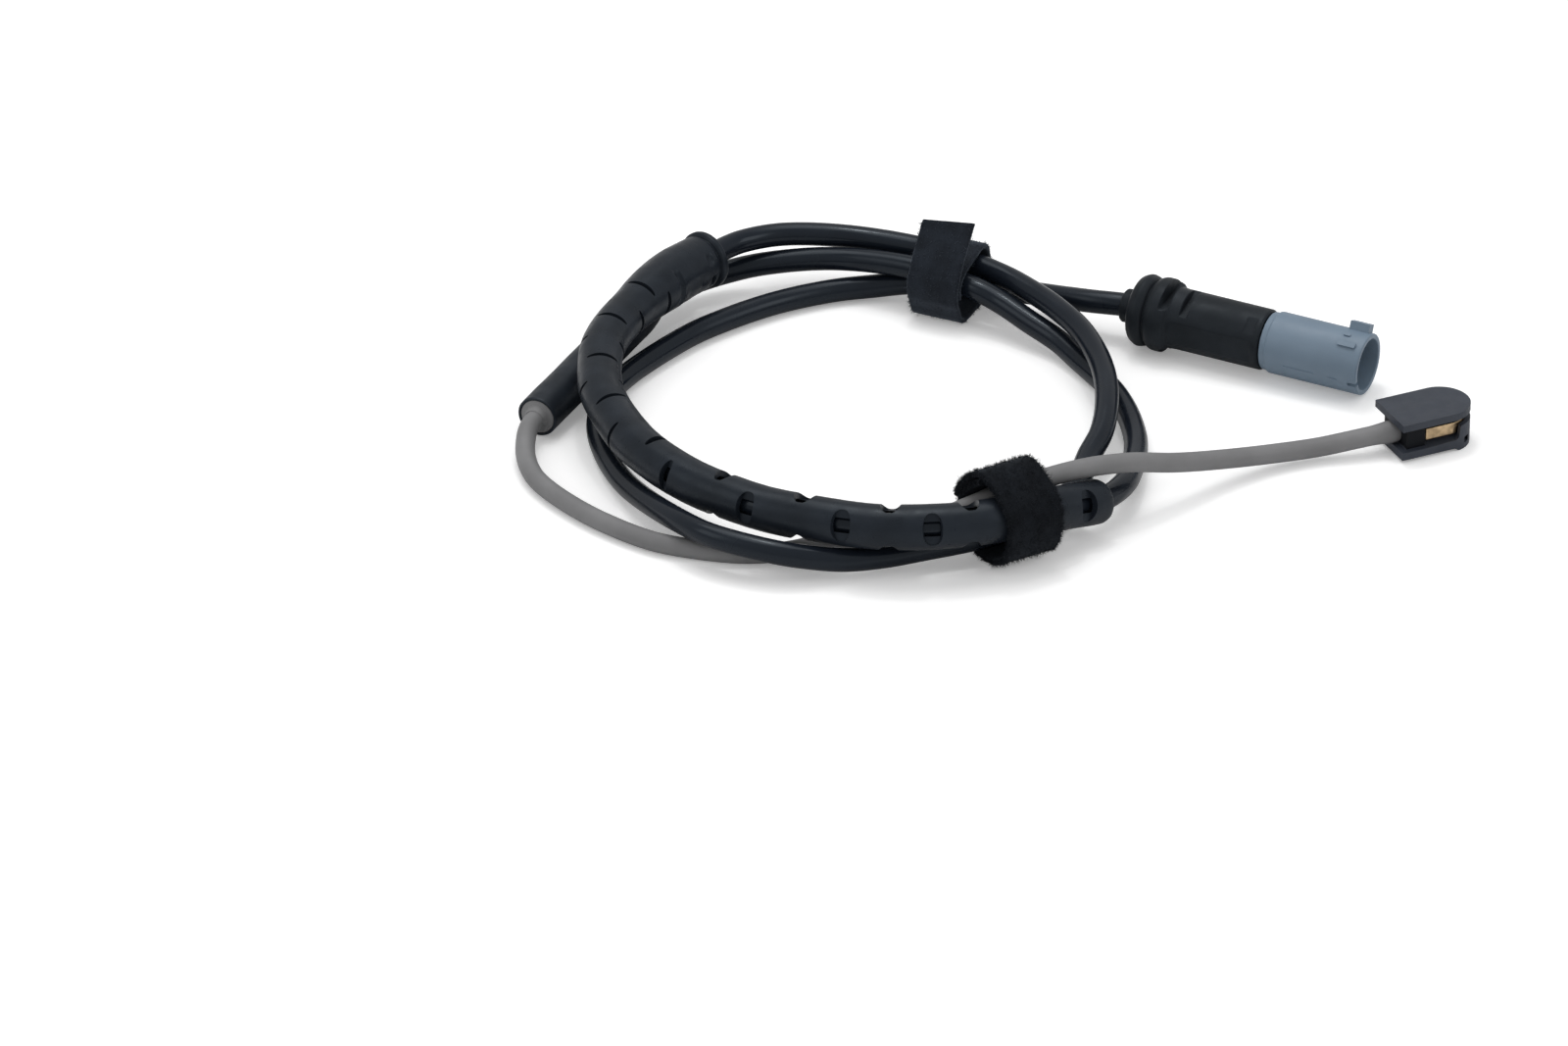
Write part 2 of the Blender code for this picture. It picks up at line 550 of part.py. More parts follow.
def make_splice():
    """Outer tube with a neck on the black cable, the seal on the grey lead, and the joined cores inside."""
    outer, inner = SPLICE_RADIUS, SPLICE_RADIUS - SPLICE_WALL
    length = SPLICE_LENGTH
    neck = CABLE_DIAMETER / 2 + CLEARANCE
    profile = [
        (0.0, neck), (0.0, neck + SPLICE_WALL), (1.0 * MM, neck + SPLICE_WALL + 0.3 * MM), (SPLICE_NECK, outer),
        (length - 0.3 * MM, outer), (length, outer - 0.2 * MM), (length, inner + 0.1 * MM),
        (length - 0.3 * MM, inner), (SPLICE_NECK + 1.0 * MM, inner), (1.5 * MM, neck)]
    turned("splice_sleeve", profile, BLACK_RUBBER, SPLICE, segments=20)
    seal = inner - CLEARANCE
    lead = LEAD_DIAMETER / 2 + CLEARANCE
    near, far = length - 0.8 * MM - SEAL_LENGTH, length - 0.8 * MM
    turned("splice_seal", [(near, lead), (near, seal), (far - 0.3 * MM, seal), (far, seal - 0.3 * MM), (far, lead)],
           GREY_JACKET, SPLICE, segments=20)
    middle = length / 2
    core = CORE_DIAMETER / 2
    crimp_in = core + CLEARANCE
    crimp_out = crimp_in + CRIMP_WALL
    across = crimp_out + CLEARANCE / 2
    for number, side in ((1, -1), (2, 1)):
        low, high = middle - CRIMP_LENGTH / 2, middle + CRIMP_LENGTH / 2
        turned(f"splice_crimp_{number}", [(low, crimp_in), (low, crimp_out), (high, crimp_out), (high, crimp_in)],
               TIN, SPLICE, segments=12, across=side * across)
        runs = (("black_core", CABLE_IN_SPLICE + CLEARANCE, low + CORE_IN_CRIMP),
                ("grey_core", high - CORE_IN_CRIMP, length - CABLE_IN_SPLICE - CLEARANCE))
        for name, start, end in runs:
            turned(f"{name}_{number}", [(start, 0.0), (start, core), (end, core), (end, 0.0)],
                   CORE_PLASTIC, SPLICE, segments=8, across=side * across)


def head_plan():
    """Plan outline of the head: square at the back, a half round at the nose."""
    half = HEAD_WIDTH / 2
    nose = HEAD_LENGTH - half
    arc = [(nose + half * math.sin(a), half * math.cos(a)) for a in np.linspace(0.0, math.pi, 15)]
    return [(0.0, half), *arc, (0.0, -half)]


def head_side():
    """Side outline of the head: a fork whose lower arm thickens a little, then has a rim at the nose."""
    top, under = HEAD_HEIGHT, HEAD_HEIGHT - TOP_PLATE
    low = FOOT_STEP + LOW_PLATE
    web = WEB_START + WEB_LENGTH
    end = HEAD_LENGTH + SMALL_STEP
    foot = 0.68 * HEAD_LENGTH
    rim = HEAD_LENGTH - RIM_REACH
    return [
        (-SMALL_STEP, top), (end, top), (end, under), (web, under), (web, low),
        (rim - 0.4 * MM, low + ARM_RISE), (rim, low + RIM_HEIGHT), (end, low + RIM_HEIGHT),
        (end, 1.0 * MM), (HEAD_LENGTH - 1.0 * MM, 0.0), (foot + 0.9 * MM, 0.0), (foot, FOOT_STEP),
        (-SMALL_STEP, FOOT_STEP), (-SMALL_STEP, low), (WEB_START, low), (WEB_START, under), (-SMALL_STEP, under)]


def make_head():
    """Fork head: side outline cut to the plan, with the lead's bore and the wear loop's trough."""
    half = HEAD_WIDTH / 2 + 1.0 * MM
    side = [(x, -half, z) for x, z in head_side()]
    head = flat_outline(side, 2 * half, (0.0, 1.0, 0.0), "sensor_head", HEAD, group=PART)
    head.data.materials.append(HEAD_PLASTIC)
    plan = [(x, y, -1.0 * MM) for x, y in head_plan()]
    boolean(head, flat_outline(plan, HEAD_HEIGHT + 2.0 * MM, (0.0, 0.0, 1.0), "head_outline", HEAD), "INTERSECT")
    low, high = FOOT_STEP + LOW_PLATE, HEAD_HEIGHT - TOP_PLATE
    for side in (-1, 1):
        near, far = sorted((side * (HEAD_WIDTH / 2 - WEB_INSET), side * half))
        boolean(head, block("web_side", (-1.0 * MM, near, low), (WEB_START + WEB_LENGTH + SMALL_STEP, far, high), HEAD))
    radius = LEAD_DIAMETER / 2 + CLEARANCE
    deep = WEB_START + LEAD_IN_WEB + CLEARANCE
    bore = turned("lead_bore", [(-1.0 * MM, 0.0), (-1.0 * MM, radius), (deep, radius), (deep, 0.0)],
                  None, HEAD, segments=16, group=CUTTERS, up=LEAD_HEIGHT)
    boolean(head, bore)
    floor = FOOT_STEP + 0.7 * MM
    trough = block("loop_trough", (deep - 0.6 * MM, -TROUGH_WIDTH / 2, floor),
                   (TROUGH_LENGTH, TROUGH_WIDTH / 2, LEAD_HEIGHT), HEAD)
    boolean(head, trough)
    inside = HEAD_WIDTH / 2 - RIM_WALL
    middle = HEAD_LENGTH - HEAD_WIDTH / 2
    pocket = [(middle + inside * math.cos(a), inside * math.sin(a), low + ARM_RISE)
              for a in np.linspace(0.0, math.tau, 28, endpoint=False)]
    boolean(head, flat_outline(pocket, RIM_HEIGHT, (0.0, 0.0, 1.0), "nose_pocket", HEAD))
    notch = block("nose_notch", (HEAD_LENGTH - 2.6 * MM, -HEAD_WIDTH, 1.3 * MM),
                  (HEAD_LENGTH - 1.6 * MM, -2.6 * MM, 2.7 * MM), HEAD)
    boolean(head, notch)
    loop_height = floor + CLEARANCE + LOOP_DIAMETER / 2
    start = deep + CLEARANCE
    turn_at = TROUGH_LENGTH - CLEARANCE - LOOP_RADIUS - LOOP_DIAMETER / 2
    leg = [(start, LOOP_RADIUS, loop_height + 0.9 * MM), (start + 1.2 * MM, LOOP_RADIUS, loop_height + 0.5 * MM),
           (start + 2.6 * MM, LOOP_RADIUS, loop_height), (turn_at, LOOP_RADIUS, loop_height)]
    arc = [(turn_at + LOOP_RADIUS * math.sin(a), LOOP_RADIUS * math.cos(a), loop_height)
           for a in np.linspace(0.0, math.pi, 9)[1:-1]]
    back = [(x, -y, z) for x, y, z in reversed(leg)]
    tube("wear_loop", leg + arc + back, LOOP_DIAMETER, BRASS, HEAD)


def ribbon(name, points, direction, skin, thickness, parent=None, outward=None, slant=0.0):
    """A strip: the open line of points carried along a direction, then given its thickness."""
    shape = bmesh.new()
    line = [shape.verts.new(p) for p in points]
    edges = [shape.edges.new(pair) for pair in zip(line, line[1:])]
    made = bmesh.ops.extrude_edge_only(shape, edges=edges)
    moved = [item for item in made["geom"] if isinstance(item, bmesh.types.BMVert)]
    bmesh.ops.translate(shape, verts=moved, vec=direction)
    end, before = Vector(points[-1]), Vector(points[-2])
    corner = min(moved, key=lambda v: (v.co - end - direction).length)
    corner.co += (end - before).normalized() * slant
    bmesh.ops.recalc_face_normals(shape, faces=shape.faces)
    shape.faces.ensure_lookup_table()
    if outward is not None:
        face = shape.faces[len(shape.faces) // 3]
        if face.normal.dot(face.calc_center_median() - Vector(outward)) < 0.0:
            bmesh.ops.reverse_faces(shape, faces=shape.faces)
    data = bpy.data.meshes.new(name)
    shape.to_mesh(data)
    shape.free()
    strip = place_object(name, data, skin, parent)
    data.shade_smooth()
    data.set_sharp_from_angle(angle=math.radians(35))
    wall = strip.modifiers.new("wall", "SOLIDIFY")
    wall.thickness = thickness
    wall.offset = 1.0
    wall.use_even_offset = True
    return strip


def make_strip():
    """Brass strip bent into a U between the head's arms."""
    start = WEB_START + WEB_LENGTH + CLEARANCE
    outer = HEAD_WIDTH / 2 - WEB_INSET
    radius = outer - STRIP_THICKNESS
    turn_at = HEAD_LENGTH - HEAD_WIDTH / 2
    arc = [(turn_at + radius * math.sin(a), radius * math.cos(a)) for a in np.linspace(0.0, math.pi, 9)]
    low = (FOOT_STEP + LOW_PLATE + HEAD_HEIGHT - TOP_PLATE - STRIP_HEIGHT) / 2
    line = [(x, y, low) for x, y in [(start, radius), *arc, (start, -radius)]]
    ribbon("spring_strip", line, Vector((0.0, 0.0, STRIP_HEIGHT)), BRASS, STRIP_THICKNESS, HEAD,
           outward=(start + 2.0 * MM, 0.0, low))


def strap_hull(place, turn, width, rounds):
    """Outline, across and up, that goes round every cable in the strap, and round the given circles."""
    forward = Vector((math.cos(turn), math.sin(turn), 0.0))
    side = Vector((-math.sin(turn), math.cos(turn), 0.0))
    circles = list(rounds)
    grip = CLEARANCE + CHORD_SAG / 2
    held = ((BLACK_CURVE, CABLE_DIAMETER / 2), (LEAD_CURVE, LEAD_DIAMETER / 2), (SLEEVE_CURVE, SLEEVE_RADIUS))
    for curve, radius in held:
        for point in curve:
            offset = point - place
            if abs(offset.dot(forward)) < width / 2 + 1.0 * MM and offset.length < STRAP_REACH:
                circles.append((offset.dot(side), offset.z, radius + grip))
    spots = [(across + radius * math.cos(a), up + radius * math.sin(a))
             for across, up, radius in circles for a in np.linspace(0.0, math.tau, 24, endpoint=False)]
    return np.array([spots[i] for i in convex_hull_2d(spots)])


def even_outline(outline, count, start_angle):
    """The closed outline read at even steps, clockwise from the ray at start_angle."""
    closed = np.vstack([outline, outline[:1]])
    area = np.sum(closed[:-1, 0] * closed[1:, 1] - closed[1:, 0] * closed[:-1, 1])
    if area > 0:
        closed = closed[::-1]
    steps = np.concatenate([[0.0], np.cumsum(np.linalg.norm(np.diff(closed, axis=0), axis=1))])
    fine = np.linspace(0.0, steps[-1], 720, endpoint=False)
    spots = np.stack([np.interp(fine, steps, closed[:, k]) for k in range(2)], 1)
    middle = spots.mean(axis=0)
    angles = np.arctan2(spots[:, 1] - middle[1], spots[:, 0] - middle[0])
    first = int(np.argmin(np.abs(np.angle(np.exp(1j * (angles - start_angle))))))
    spots = np.roll(spots, -first, axis=0)
    picked = spots[np.linspace(0, len(spots), count, endpoint=False).astype(int)]
    return picked, middle


def outward_normals(points):
    """Unit normals, pointing out, of a closed clockwise outline."""
    runs = np.roll(points, -1, axis=0) - np.roll(points, 1, axis=0)
    normals = np.stack([-runs[:, 1], runs[:, 0]], 1)
    return normals / np.linalg.norm(normals, axis=1)[:, None]


def strap_line(outline, start_angle, lap, thickness):
    """One turn round the outline, then a second layer over its first points."""
    count = 36
    points, middle = even_outline(outline, count, start_angle)
    normals = outward_normals(points)
    layer = thickness + CLEARANCE * 1.4
    share = np.clip((np.arange(count) / count - LIFT_START) / LIFT_LENGTH, 0.0, 1.0)
    first = points + normals * (layer * share ** 2)[:, None]
    second = points[:lap] + normals[:lap] * layer
    return np.vstack([first, second]), middle


def make_strap(name, place, turn, width, thickness, line, middle, slant=0.0):
    forward = Vector((math.cos(turn), math.sin(turn), 0.0))
    side = Vector((-math.sin(turn), math.cos(turn), 0.0))
    start = place - forward * width / 2
    points = [start + side * across + Vector((0.0, 0.0, up)) for across, up in line]
    inside = place + side * middle[0] + Vector((0.0, 0.0, middle[1]))
    ribbon(name, points, forward * width, STRAP_CLOTH, thickness, outward=inside, slant=slant)


def make_straps():
    """The two cloth straps: the upper one ends in a tail that stands up."""
    hull = strap_hull(UPPER_STRAP, UPPER_STRAP_TURN, UPPER_STRAP_WIDTH, [STRAP_SLACK])
    line, middle = strap_line(hull, math.radians(180), 4, UPPER_STRAP_THICKNESS)
    foot = line[-1]
    tail = [(foot[0] + 0.1 * MM, TAIL_BEND), (foot[0] + 0.2 * TAIL_LEAN, TAIL_BEND + 2.2 * MM),
            (foot[0] + TAIL_LEAN, TAIL_TOP)]
    line = np.vstack([line, tail])
    make_strap("upper_strap", UPPER_STRAP, UPPER_STRAP_TURN, UPPER_STRAP_WIDTH, UPPER_STRAP_THICKNESS, line, middle,
               TAIL_SLANT)
    hull = strap_hull(LOWER_STRAP, LOWER_STRAP_TURN, LOWER_STRAP_WIDTH, [(0.0, 0.0, LOWER_STRAP_ROUND)])
    line, middle = strap_line(hull, math.radians(75), 8, LOWER_STRAP_THICKNESS)
    make_strap("lower_strap", LOWER_STRAP, LOWER_STRAP_TURN, LOWER_STRAP_WIDTH, LOWER_STRAP_THICKNESS, line, middle)


make_cables()
make_connector_body()
make_connector_shroud()
make_pins()
make_sleeve()
make_splice()
make_head()
make_strip()
make_straps()
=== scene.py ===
"""Looks of a brake pad wear sensor: cables, plug, slotted sleeve, splice, straps and fork head.

The file is laid out as a Blender add-on and is run as a script.
"""

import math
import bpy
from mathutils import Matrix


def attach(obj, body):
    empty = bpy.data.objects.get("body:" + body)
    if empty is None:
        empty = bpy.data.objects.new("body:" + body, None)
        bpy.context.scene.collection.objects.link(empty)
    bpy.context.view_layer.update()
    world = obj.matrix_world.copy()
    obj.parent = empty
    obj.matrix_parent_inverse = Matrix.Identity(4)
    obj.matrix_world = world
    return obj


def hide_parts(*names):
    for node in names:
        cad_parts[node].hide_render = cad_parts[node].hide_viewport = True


bl_info = {
    "name": "Brake pad wear sensor",
    "version": (1, 0, 0),
    "blender": (4, 5, 0),
    "location": "3D View > Sidebar > Wear sensor",
    "description": "Builds the looks of a brake pad wear sensor around its packed frame",
    "category": "Object",
}

import bmesh
import bpy
import numpy as np
from bpy.props import FloatProperty, FloatVectorProperty, PointerProperty
from mathutils.geometry import convex_hull_2d

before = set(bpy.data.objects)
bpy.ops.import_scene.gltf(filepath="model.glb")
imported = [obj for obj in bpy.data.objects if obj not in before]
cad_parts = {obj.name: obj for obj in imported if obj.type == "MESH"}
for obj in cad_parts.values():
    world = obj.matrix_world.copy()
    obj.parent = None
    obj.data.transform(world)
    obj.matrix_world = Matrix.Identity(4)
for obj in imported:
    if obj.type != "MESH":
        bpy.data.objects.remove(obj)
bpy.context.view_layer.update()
MM = 0.001

# Route of the black cable, from the plug to the splice, in millimetres, as in the part
RUN_UNDER_SLEEVE = [
    (25.0, 41.4, 7.9), (21.0, 43.0, 7.5), (8.4, 51.2, 5.0), (1.2, 54.7, 4.5), (-5.0, 56.1, 4.3),
    (-15.8, 57.0, 4.3), (-24.8, 57.7, 3.0), (-33.1, 56.5, 2.6), (-45.6, 50.9, 2.6), (-58.4, 41.6, 2.6),
    (-64.5, 35.6, 2.6), (-76.1, 20.0, 2.6), (-80.2, 11.2, 2.6), (-81.9, 1.6, 2.6), (-81.3, -8.7, 2.6),
    (-76.1, -26.5, 3.1), (-63.4, -50.0, 6.9), (-57.4, -56.0, 7.4), (-45.5, -60.7, 6.6), (-39.5, -60.9, 5.6),
    (-31.6, -59.7, 4.2), (-23.7, -57.2, 3.5), (-13.7, -54.1, 3.8), (-5.2, -51.6, 4.3), (0.6, -48.7, 4.5)]
LOOP_TO_FLANGE = [
    (7.9, -43.0, 4.6), (13.1, -36.8, 4.6), (16.6, -29.3, 4.9), (19.0, -20.1, 5.6), (21.8, -12.1, 6.6),
    (23.1, -4.0, 7.6), (23.3, 6.2, 8.4), (21.9, 16.7, 8.8), (18.7, 27.2, 9.2), (14.1, 35.7, 9.5),
    (8.1, 43.9, 9.7), (2.1, 50.3, 9.9), (-10.2, 58.9, 10.4), (-28.9, 64.6, 11.2), (-43.5, 64.3, 12.0),
    (-51.8, 60.9, 12.3), (-56.0, 57.4, 12.4)]
RUN_IN_SLEEVE = [
    (-59.7, 52.6, 12.5), (-63.1, 48.6, 12.7), (-70.7, 37.5, 13.2), (-78.3, 22.0, 13.4),
    (-80.8, 14.5, 13.1), (-81.7, 7.0, 12.6), (-80.7, -6.1, 11.8), (-73.4, -24.9, 11.1),
    (-63.4, -38.2, 10.8), (-51.4, -48.0, 10.7), (-41.5, -53.3, 10.9), (-22.8, -59.1, 11.5),
    (-5.6, -58.1, 11.6), (3.0, -54.3, 11.1), (13.2, -46.5, 8.8), (21.1, -39.2, 6.4)]
LOOP_TO_SPLICE = [
    (25.6, -31.6, 5.3), (27.6, -23.9, 4.3), (29.1, -7.4, 2.8), (25.9, 10.5, 2.6), (18.3, 26.1, 2.8),
    (14.1, 32.5, 3.7), (8.1, 38.0, 5.3), (2.0, 43.2, 7.2), (-3.2, 46.4, 8.6), (-15.9, 54.3, 9.3),
    (-33.1, 60.8, 8.0), (-47.7, 61.3, 6.5), (-56.0, 60.0, 5.1), (-64.3, 55.4, 4.5), (-68.0, 51.7, 4.5)]

# Route of the grey lead, from the splice to the head, in millimetres, as in the part
LEAD_RUN = [
    (-96.2, -5.5, 4.3), (-96.8, -9.7, 3.6), (-96.7, -14.4, 2.6), (-95.1, -21.2, 2.15), (-92.1, -27.1, 2.1),
    (-83.5, -37.8, 2.1), (-73.4, -46.5, 2.1), (-67.4, -49.9, 2.1), (-55.4, -53.3, 2.1), (-49.5, -53.7, 2.1),
    (-42.5, -52.5, 2.1), (-33.6, -48.9, 2.3), (-23.6, -46.9, 3.2), (-14.7, -47.8, 6.0), (-6.2, -48.4, 10.0),
    (0.2, -46.7, 12.2), (11.2, -41.8, 13.5), (18.3, -38.9, 13.8), (26.4, -35.0, 12.7), (36.6, -28.5, 9.0),
    (47.0, -20.7, 5.4), (57.4, -14.9, 3.4), (66.7, -11.7, 3.1), (73.8, -10.1, 3.9)]

# Sizes of the part that the pieces here share
CLEARANCE = 0.3 * MM
CHORD_SAG = 0.22 * MM
PLUG_END = np.array((28.3, 40.4, 8.0)) * MM
PLUG_TURN, PLUG_DIP = math.radians(-26.3), math.radians(0.7)
PLUG_LENGTH, BODY_LENGTH = 55.7 * MM, 33.0 * MM
BODY_RADIUS, BODY_WALL, RIB_RADIUS, COLLAR_RADIUS = 6.5 * MM, 1.6 * MM, 7.8 * MM, 3.6 * MM
CABLE_IN_PLUG = 13.0 * MM
SHROUD_RADIUS, SHROUD_WALL = 6.6 * MM, 1.1 * MM
SOCKET_DEPTH, SOCKET_FLOOR, SPIGOT_LENGTH = 13.5 * MM, 3.5 * MM, 6.0 * MM
PIN_DIAMETER, PIN_SPACING, PIN_REACH, PIN_TAIL = 1.5 * MM, 4.4 * MM, 6.6 * MM, 5.0 * MM
BARREL_DIAMETER = 2.6 * MM
SLEEVE_WALL, LIP_RADIUS, LIP_WIDTH, MOUTH_LENGTH = 1.2 * MM, 6.2 * MM, 1.5 * MM, 32.0 * MM
SLOT_HEIGHT, CLOSED_SLOT_WIDTH, OPEN_SLOT_WIDTH = 6.6 * MM, 1.1 * MM, 4.2 * MM
SLOTS_START_TO_OPEN, SLOTS_ALL_OPEN = 84.0 * MM, 122.0 * MM
SPLICE_TOP = np.array((-72.7, 45.5, 4.5)) * MM
SPLICE_TURN, SPLICE_LENGTH = math.radians(-115.0), 51.9 * MM
SPLICE_RADIUS, SPLICE_WALL, SPLICE_NECK = 4.4 * MM, 1.1 * MM, 4.0 * MM
CABLE_IN_SPLICE, SEAL_LENGTH = 8.0 * MM, 5.0 * MM
HEAD_BACK = np.array((81.4, -7.7, 0.0)) * MM
HEAD_TURN = math.radians(24.9)
HEAD_LENGTH, HEAD_WIDTH, HEAD_HEIGHT = 18.2 * MM, 12.4 * MM, 8.9 * MM
TOP_PLATE, LOW_PLATE, FOOT_STEP = 1.6 * MM, 1.7 * MM, 0.7 * MM
ARM_RISE, RIM_HEIGHT, RIM_REACH, RIM_WALL = 0.35 * MM, 3.3 * MM, 4.6 * MM, 1.0 * MM
WEB_START, WEB_LENGTH, WEB_INSET, LEAD_IN_WEB = 1.6 * MM, 4.2 * MM, 1.3 * MM, 3.0 * MM
TROUGH_WIDTH, TROUGH_LENGTH, TROUGH_FLOOR = 3.8 * MM, 14.0 * MM, FOOT_STEP + 0.7 * MM
LOOP_DIAMETER, LOOP_RADIUS = 0.9 * MM, 1.1 * MM
STRIP_THICKNESS, STRIP_HEIGHT = 0.4 * MM, 2.5 * MM
UPPER_STRAP, LOWER_STRAP = np.array((-8.6, 52.9, 7.8)) * MM, np.array((2.8, -50.9, 9.6)) * MM
UPPER_STRAP_TURN, LOWER_STRAP_TURN = math.radians(-25.0), math.radians(31.0)
UPPER_STRAP_WIDTH, LOWER_STRAP_WIDTH = 11.6 * MM, 12.8 * MM
UPPER_STRAP_THICKNESS, LOWER_STRAP_THICKNESS = 1.1 * MM, 1.3 * MM
STRAP_SLACK = (-3.4 * MM, -4.3 * MM, 2.3 * MM)
TAIL_BEND, TAIL_TOP, TAIL_LEAN, TAIL_SLANT = 4.2 * MM, 12.5 * MM, 6.5 * MM, 1.5 * MM
LOWER_STRAP_ROUND, STRAP_REACH = 7.7 * MM, 16.0 * MM
LIFT_START, LIFT_LENGTH = 0.84, 0.15


def length_property(name, description, default, low, high):
    """A length that a user would change, given in millimetres."""
    return FloatProperty(name=name, description=description, default=default * MM, min=low * MM,
                         max=high * MM, unit="LENGTH")


def colour_property(name, description, default):
    """A colour that a user would change."""
    return FloatVectorProperty(name=name, description=description, default=default, subtype="COLOR",
                               size=3, min=0, max=1)


class SensorSizes(bpy.types.PropertyGroup):
    """Sizes that a user would change."""

    cable_diameter: length_property("Cable diameter", "Outside of the black cable", 5.0, 3.0, 6.0)
    lead_diameter: length_property("Lead diameter", "Outside of the grey lead", 4.1, 3.0, 5.0)
    sleeve_radius: length_property("Sleeve radius", "Outside radius of the sleeve past its mouth",
                                   4.6, 4.2, 5.5)
    fuzz_length: length_property("Fuzz length", "Length of the cloth's loose fibres", 0.7, 0.1, 1.5)


class SensorColours(bpy.types.PropertyGroup):
    """Colours that a user would change."""

    cable: colour_property("Cable", "Black jacket", (0.009, 0.012, 0.018))
    lead: colour_property("Lead", "Grey jacket", (0.208, 0.208, 0.212))
    sleeve: colour_property("Sleeve", "Rubber of the sleeve and the splice", (0.013, 0.0165, 0.0225))
    body: colour_property("Plug body", "Rubber of the plug's body", (0.0155, 0.0185, 0.0225))
    shroud: colour_property("Shroud", "Plastic of the plug's shroud", (0.165, 0.225, 0.292))
    head: colour_property("Head", "Plastic of the fork head", (0.034, 0.041, 0.056))
    strap: colour_property("Strap", "Cloth of the straps", (0.009, 0.0115, 0.016))


def sizes():
    """The scene's sizes."""
    return bpy.context.scene.sensor_sizes


def colours():
    """The scene's colours."""
    return bpy.context.scene.sensor_colours


def metres(points):
    """Points in millimetres, as metres."""
    return np.asarray(points, float) * MM


def unit(vectors):
    """The vectors divided by their lengths."""
    return vectors / np.linalg.norm(vectors, axis=-1, keepdims=True)


def angles_round(count):
    """Even angles once round, from 0 to one step short of a whole turn."""
    return np.linspace(0.0, math.tau, count, endpoint=False)


def wrapped(angle):
    """The angle less whole turns, between minus and plus half a turn."""
    return np.mod(angle + math.pi, math.tau) - math.pi


class Axes:
    """Place and axes of a group of pieces: X along it, Z up."""

    def __init__(self, origin, turn, dip=0.0):
        c, s = math.cos(turn), math.sin(turn)
        cd, sd = math.cos(dip), math.sin(dip)
        self.origin = np.asarray(origin, float)
        self.turn = np.array([[c, -s, 0.0], [s, c, 0.0], [0.0, 0.0, 1.0]]) @ np.array(
            [[cd, 0.0, sd], [0.0, 1.0, 0.0], [-sd, 0.0, cd]])

    def __call__(self, points):
        return self.origin + np.asarray(points, float) @ self.turn.T


PLUG = Axes(PLUG_END, PLUG_TURN, PLUG_DIP)
SPLICE = Axes(SPLICE_TOP, SPLICE_TURN)
HEAD = Axes(HEAD_BACK, HEAD_TURN)


UP = (0.0, 0.0, 1.0)
# A corner's rounding takes at most this share of the shorter side beside it
MOST_OF_SIDE = 0.45
SAME_POINT = 1e-7
OCTAVES, WAVES, WAVE_SCALE, NOISE_SCALE = 3, 6, 2.4, 1.6
WELD = 0.002 * MM
# How far a cutting shape reaches past what it cuts, and how far inside its edges a region is taken
OVER, SKIN = 1.0 * MM, 0.05 * MM
# Radius of a closed tube's end face, as a share of the tube's
END_SHARE = 0.86


# Curves and profiles, as whole arrays

def route(points, step):
    """Centripetal Catmull-Rom curve through the points, read at even steps of its length."""
    p = np.asarray(points, float)
    p = np.vstack([2 * p[0] - p[1], p, 2 * p[-1] - p[-2]])
    t = np.concatenate([[0.0], np.cumsum(np.linalg.norm(np.diff(p, axis=0), axis=1) ** 0.5)])
    a, b, c, d = (p[i:len(p) - 3 + i, None] for i in range(4))
    t0, t1, t2, t3 = (t[i:len(t) - 3 + i, None, None] for i in range(4))
    x = t1 + (t2 - t1) * np.linspace(0.0, 1.0, 40, endpoint=False)[None, :, None]
    ab = ((t1 - x) * a + (x - t0) * b) / (t1 - t0)
    bc = ((t2 - x) * b + (x - t1) * c) / (t2 - t1)
    cd = ((t3 - x) * c + (x - t2) * d) / (t3 - t2)
    abc = ((t2 - x) * ab + (x - t0) * bc) / (t2 - t0)
    bcd = ((t3 - x) * bc + (x - t1) * cd) / (t3 - t1)
    curve = (((t2 - x) * abc + (x - t1) * bcd) / (t2 - t1)).reshape(-1, 3)
    curve = np.vstack([curve, p[-2]])
    return evenly(curve, step)


def distances(line):
    """How far along the line each of its points lies."""
    return np.concatenate([[0.0], np.cumsum(np.linalg.norm(np.diff(line, axis=0), axis=1))])


def read_line(line, where):
    """Points of the line at the given distances along it."""
    s = distances(line)
    return np.stack([np.interp(where, s, line[:, k]) for k in range(line.shape[1])], 1)


def evenly(line, step):
    """The line read at even distances, as near to the step as whole steps come."""
    total = distances(line)[-1]
    return read_line(line, np.linspace(0.0, total, max(2, round(total / step) + 1)))


def softened(points, reach, steps=5, closed=True):
    """The outline with each corner replaced by a parabola that starts and ends reach away from it."""
    p = np.asarray(points, float)
    before, after = np.roll(p, 1, axis=0) - p, np.roll(p, -1, axis=0) - p
    near, far = np.linalg.norm(before, axis=1), np.linalg.norm(after, axis=1)
    cut = np.minimum(np.asarray(reach, float), MOST_OF_SIDE * np.minimum(near, far))
    if not closed:
        cut[[0, -1]] = 0.0
    a = p + before * (cut / near)[:, None]
    b = p + after * (cut / far)[:, None]
    t = np.linspace(0.0, 1.0, steps)[None, :, None]
    arcs = (1 - t) ** 2 * a[:, None] + 2 * (1 - t) * t * p[:, None] + t ** 2 * b[:, None]
    line = arcs.reshape(-1, p.shape[1])
    keep = np.concatenate([[True], np.linalg.norm(np.diff(line, axis=0), axis=1) > SAME_POINT])
    return line[keep]


def smooth_step(x, low, high):
    """0 below low, 1 above high, and between them 3 t squared less 2 t cubed."""
    t = np.clip((x - low) / (high - low), 0.0, 1.0)
    return t * t * (3.0 - 2.0 * t)


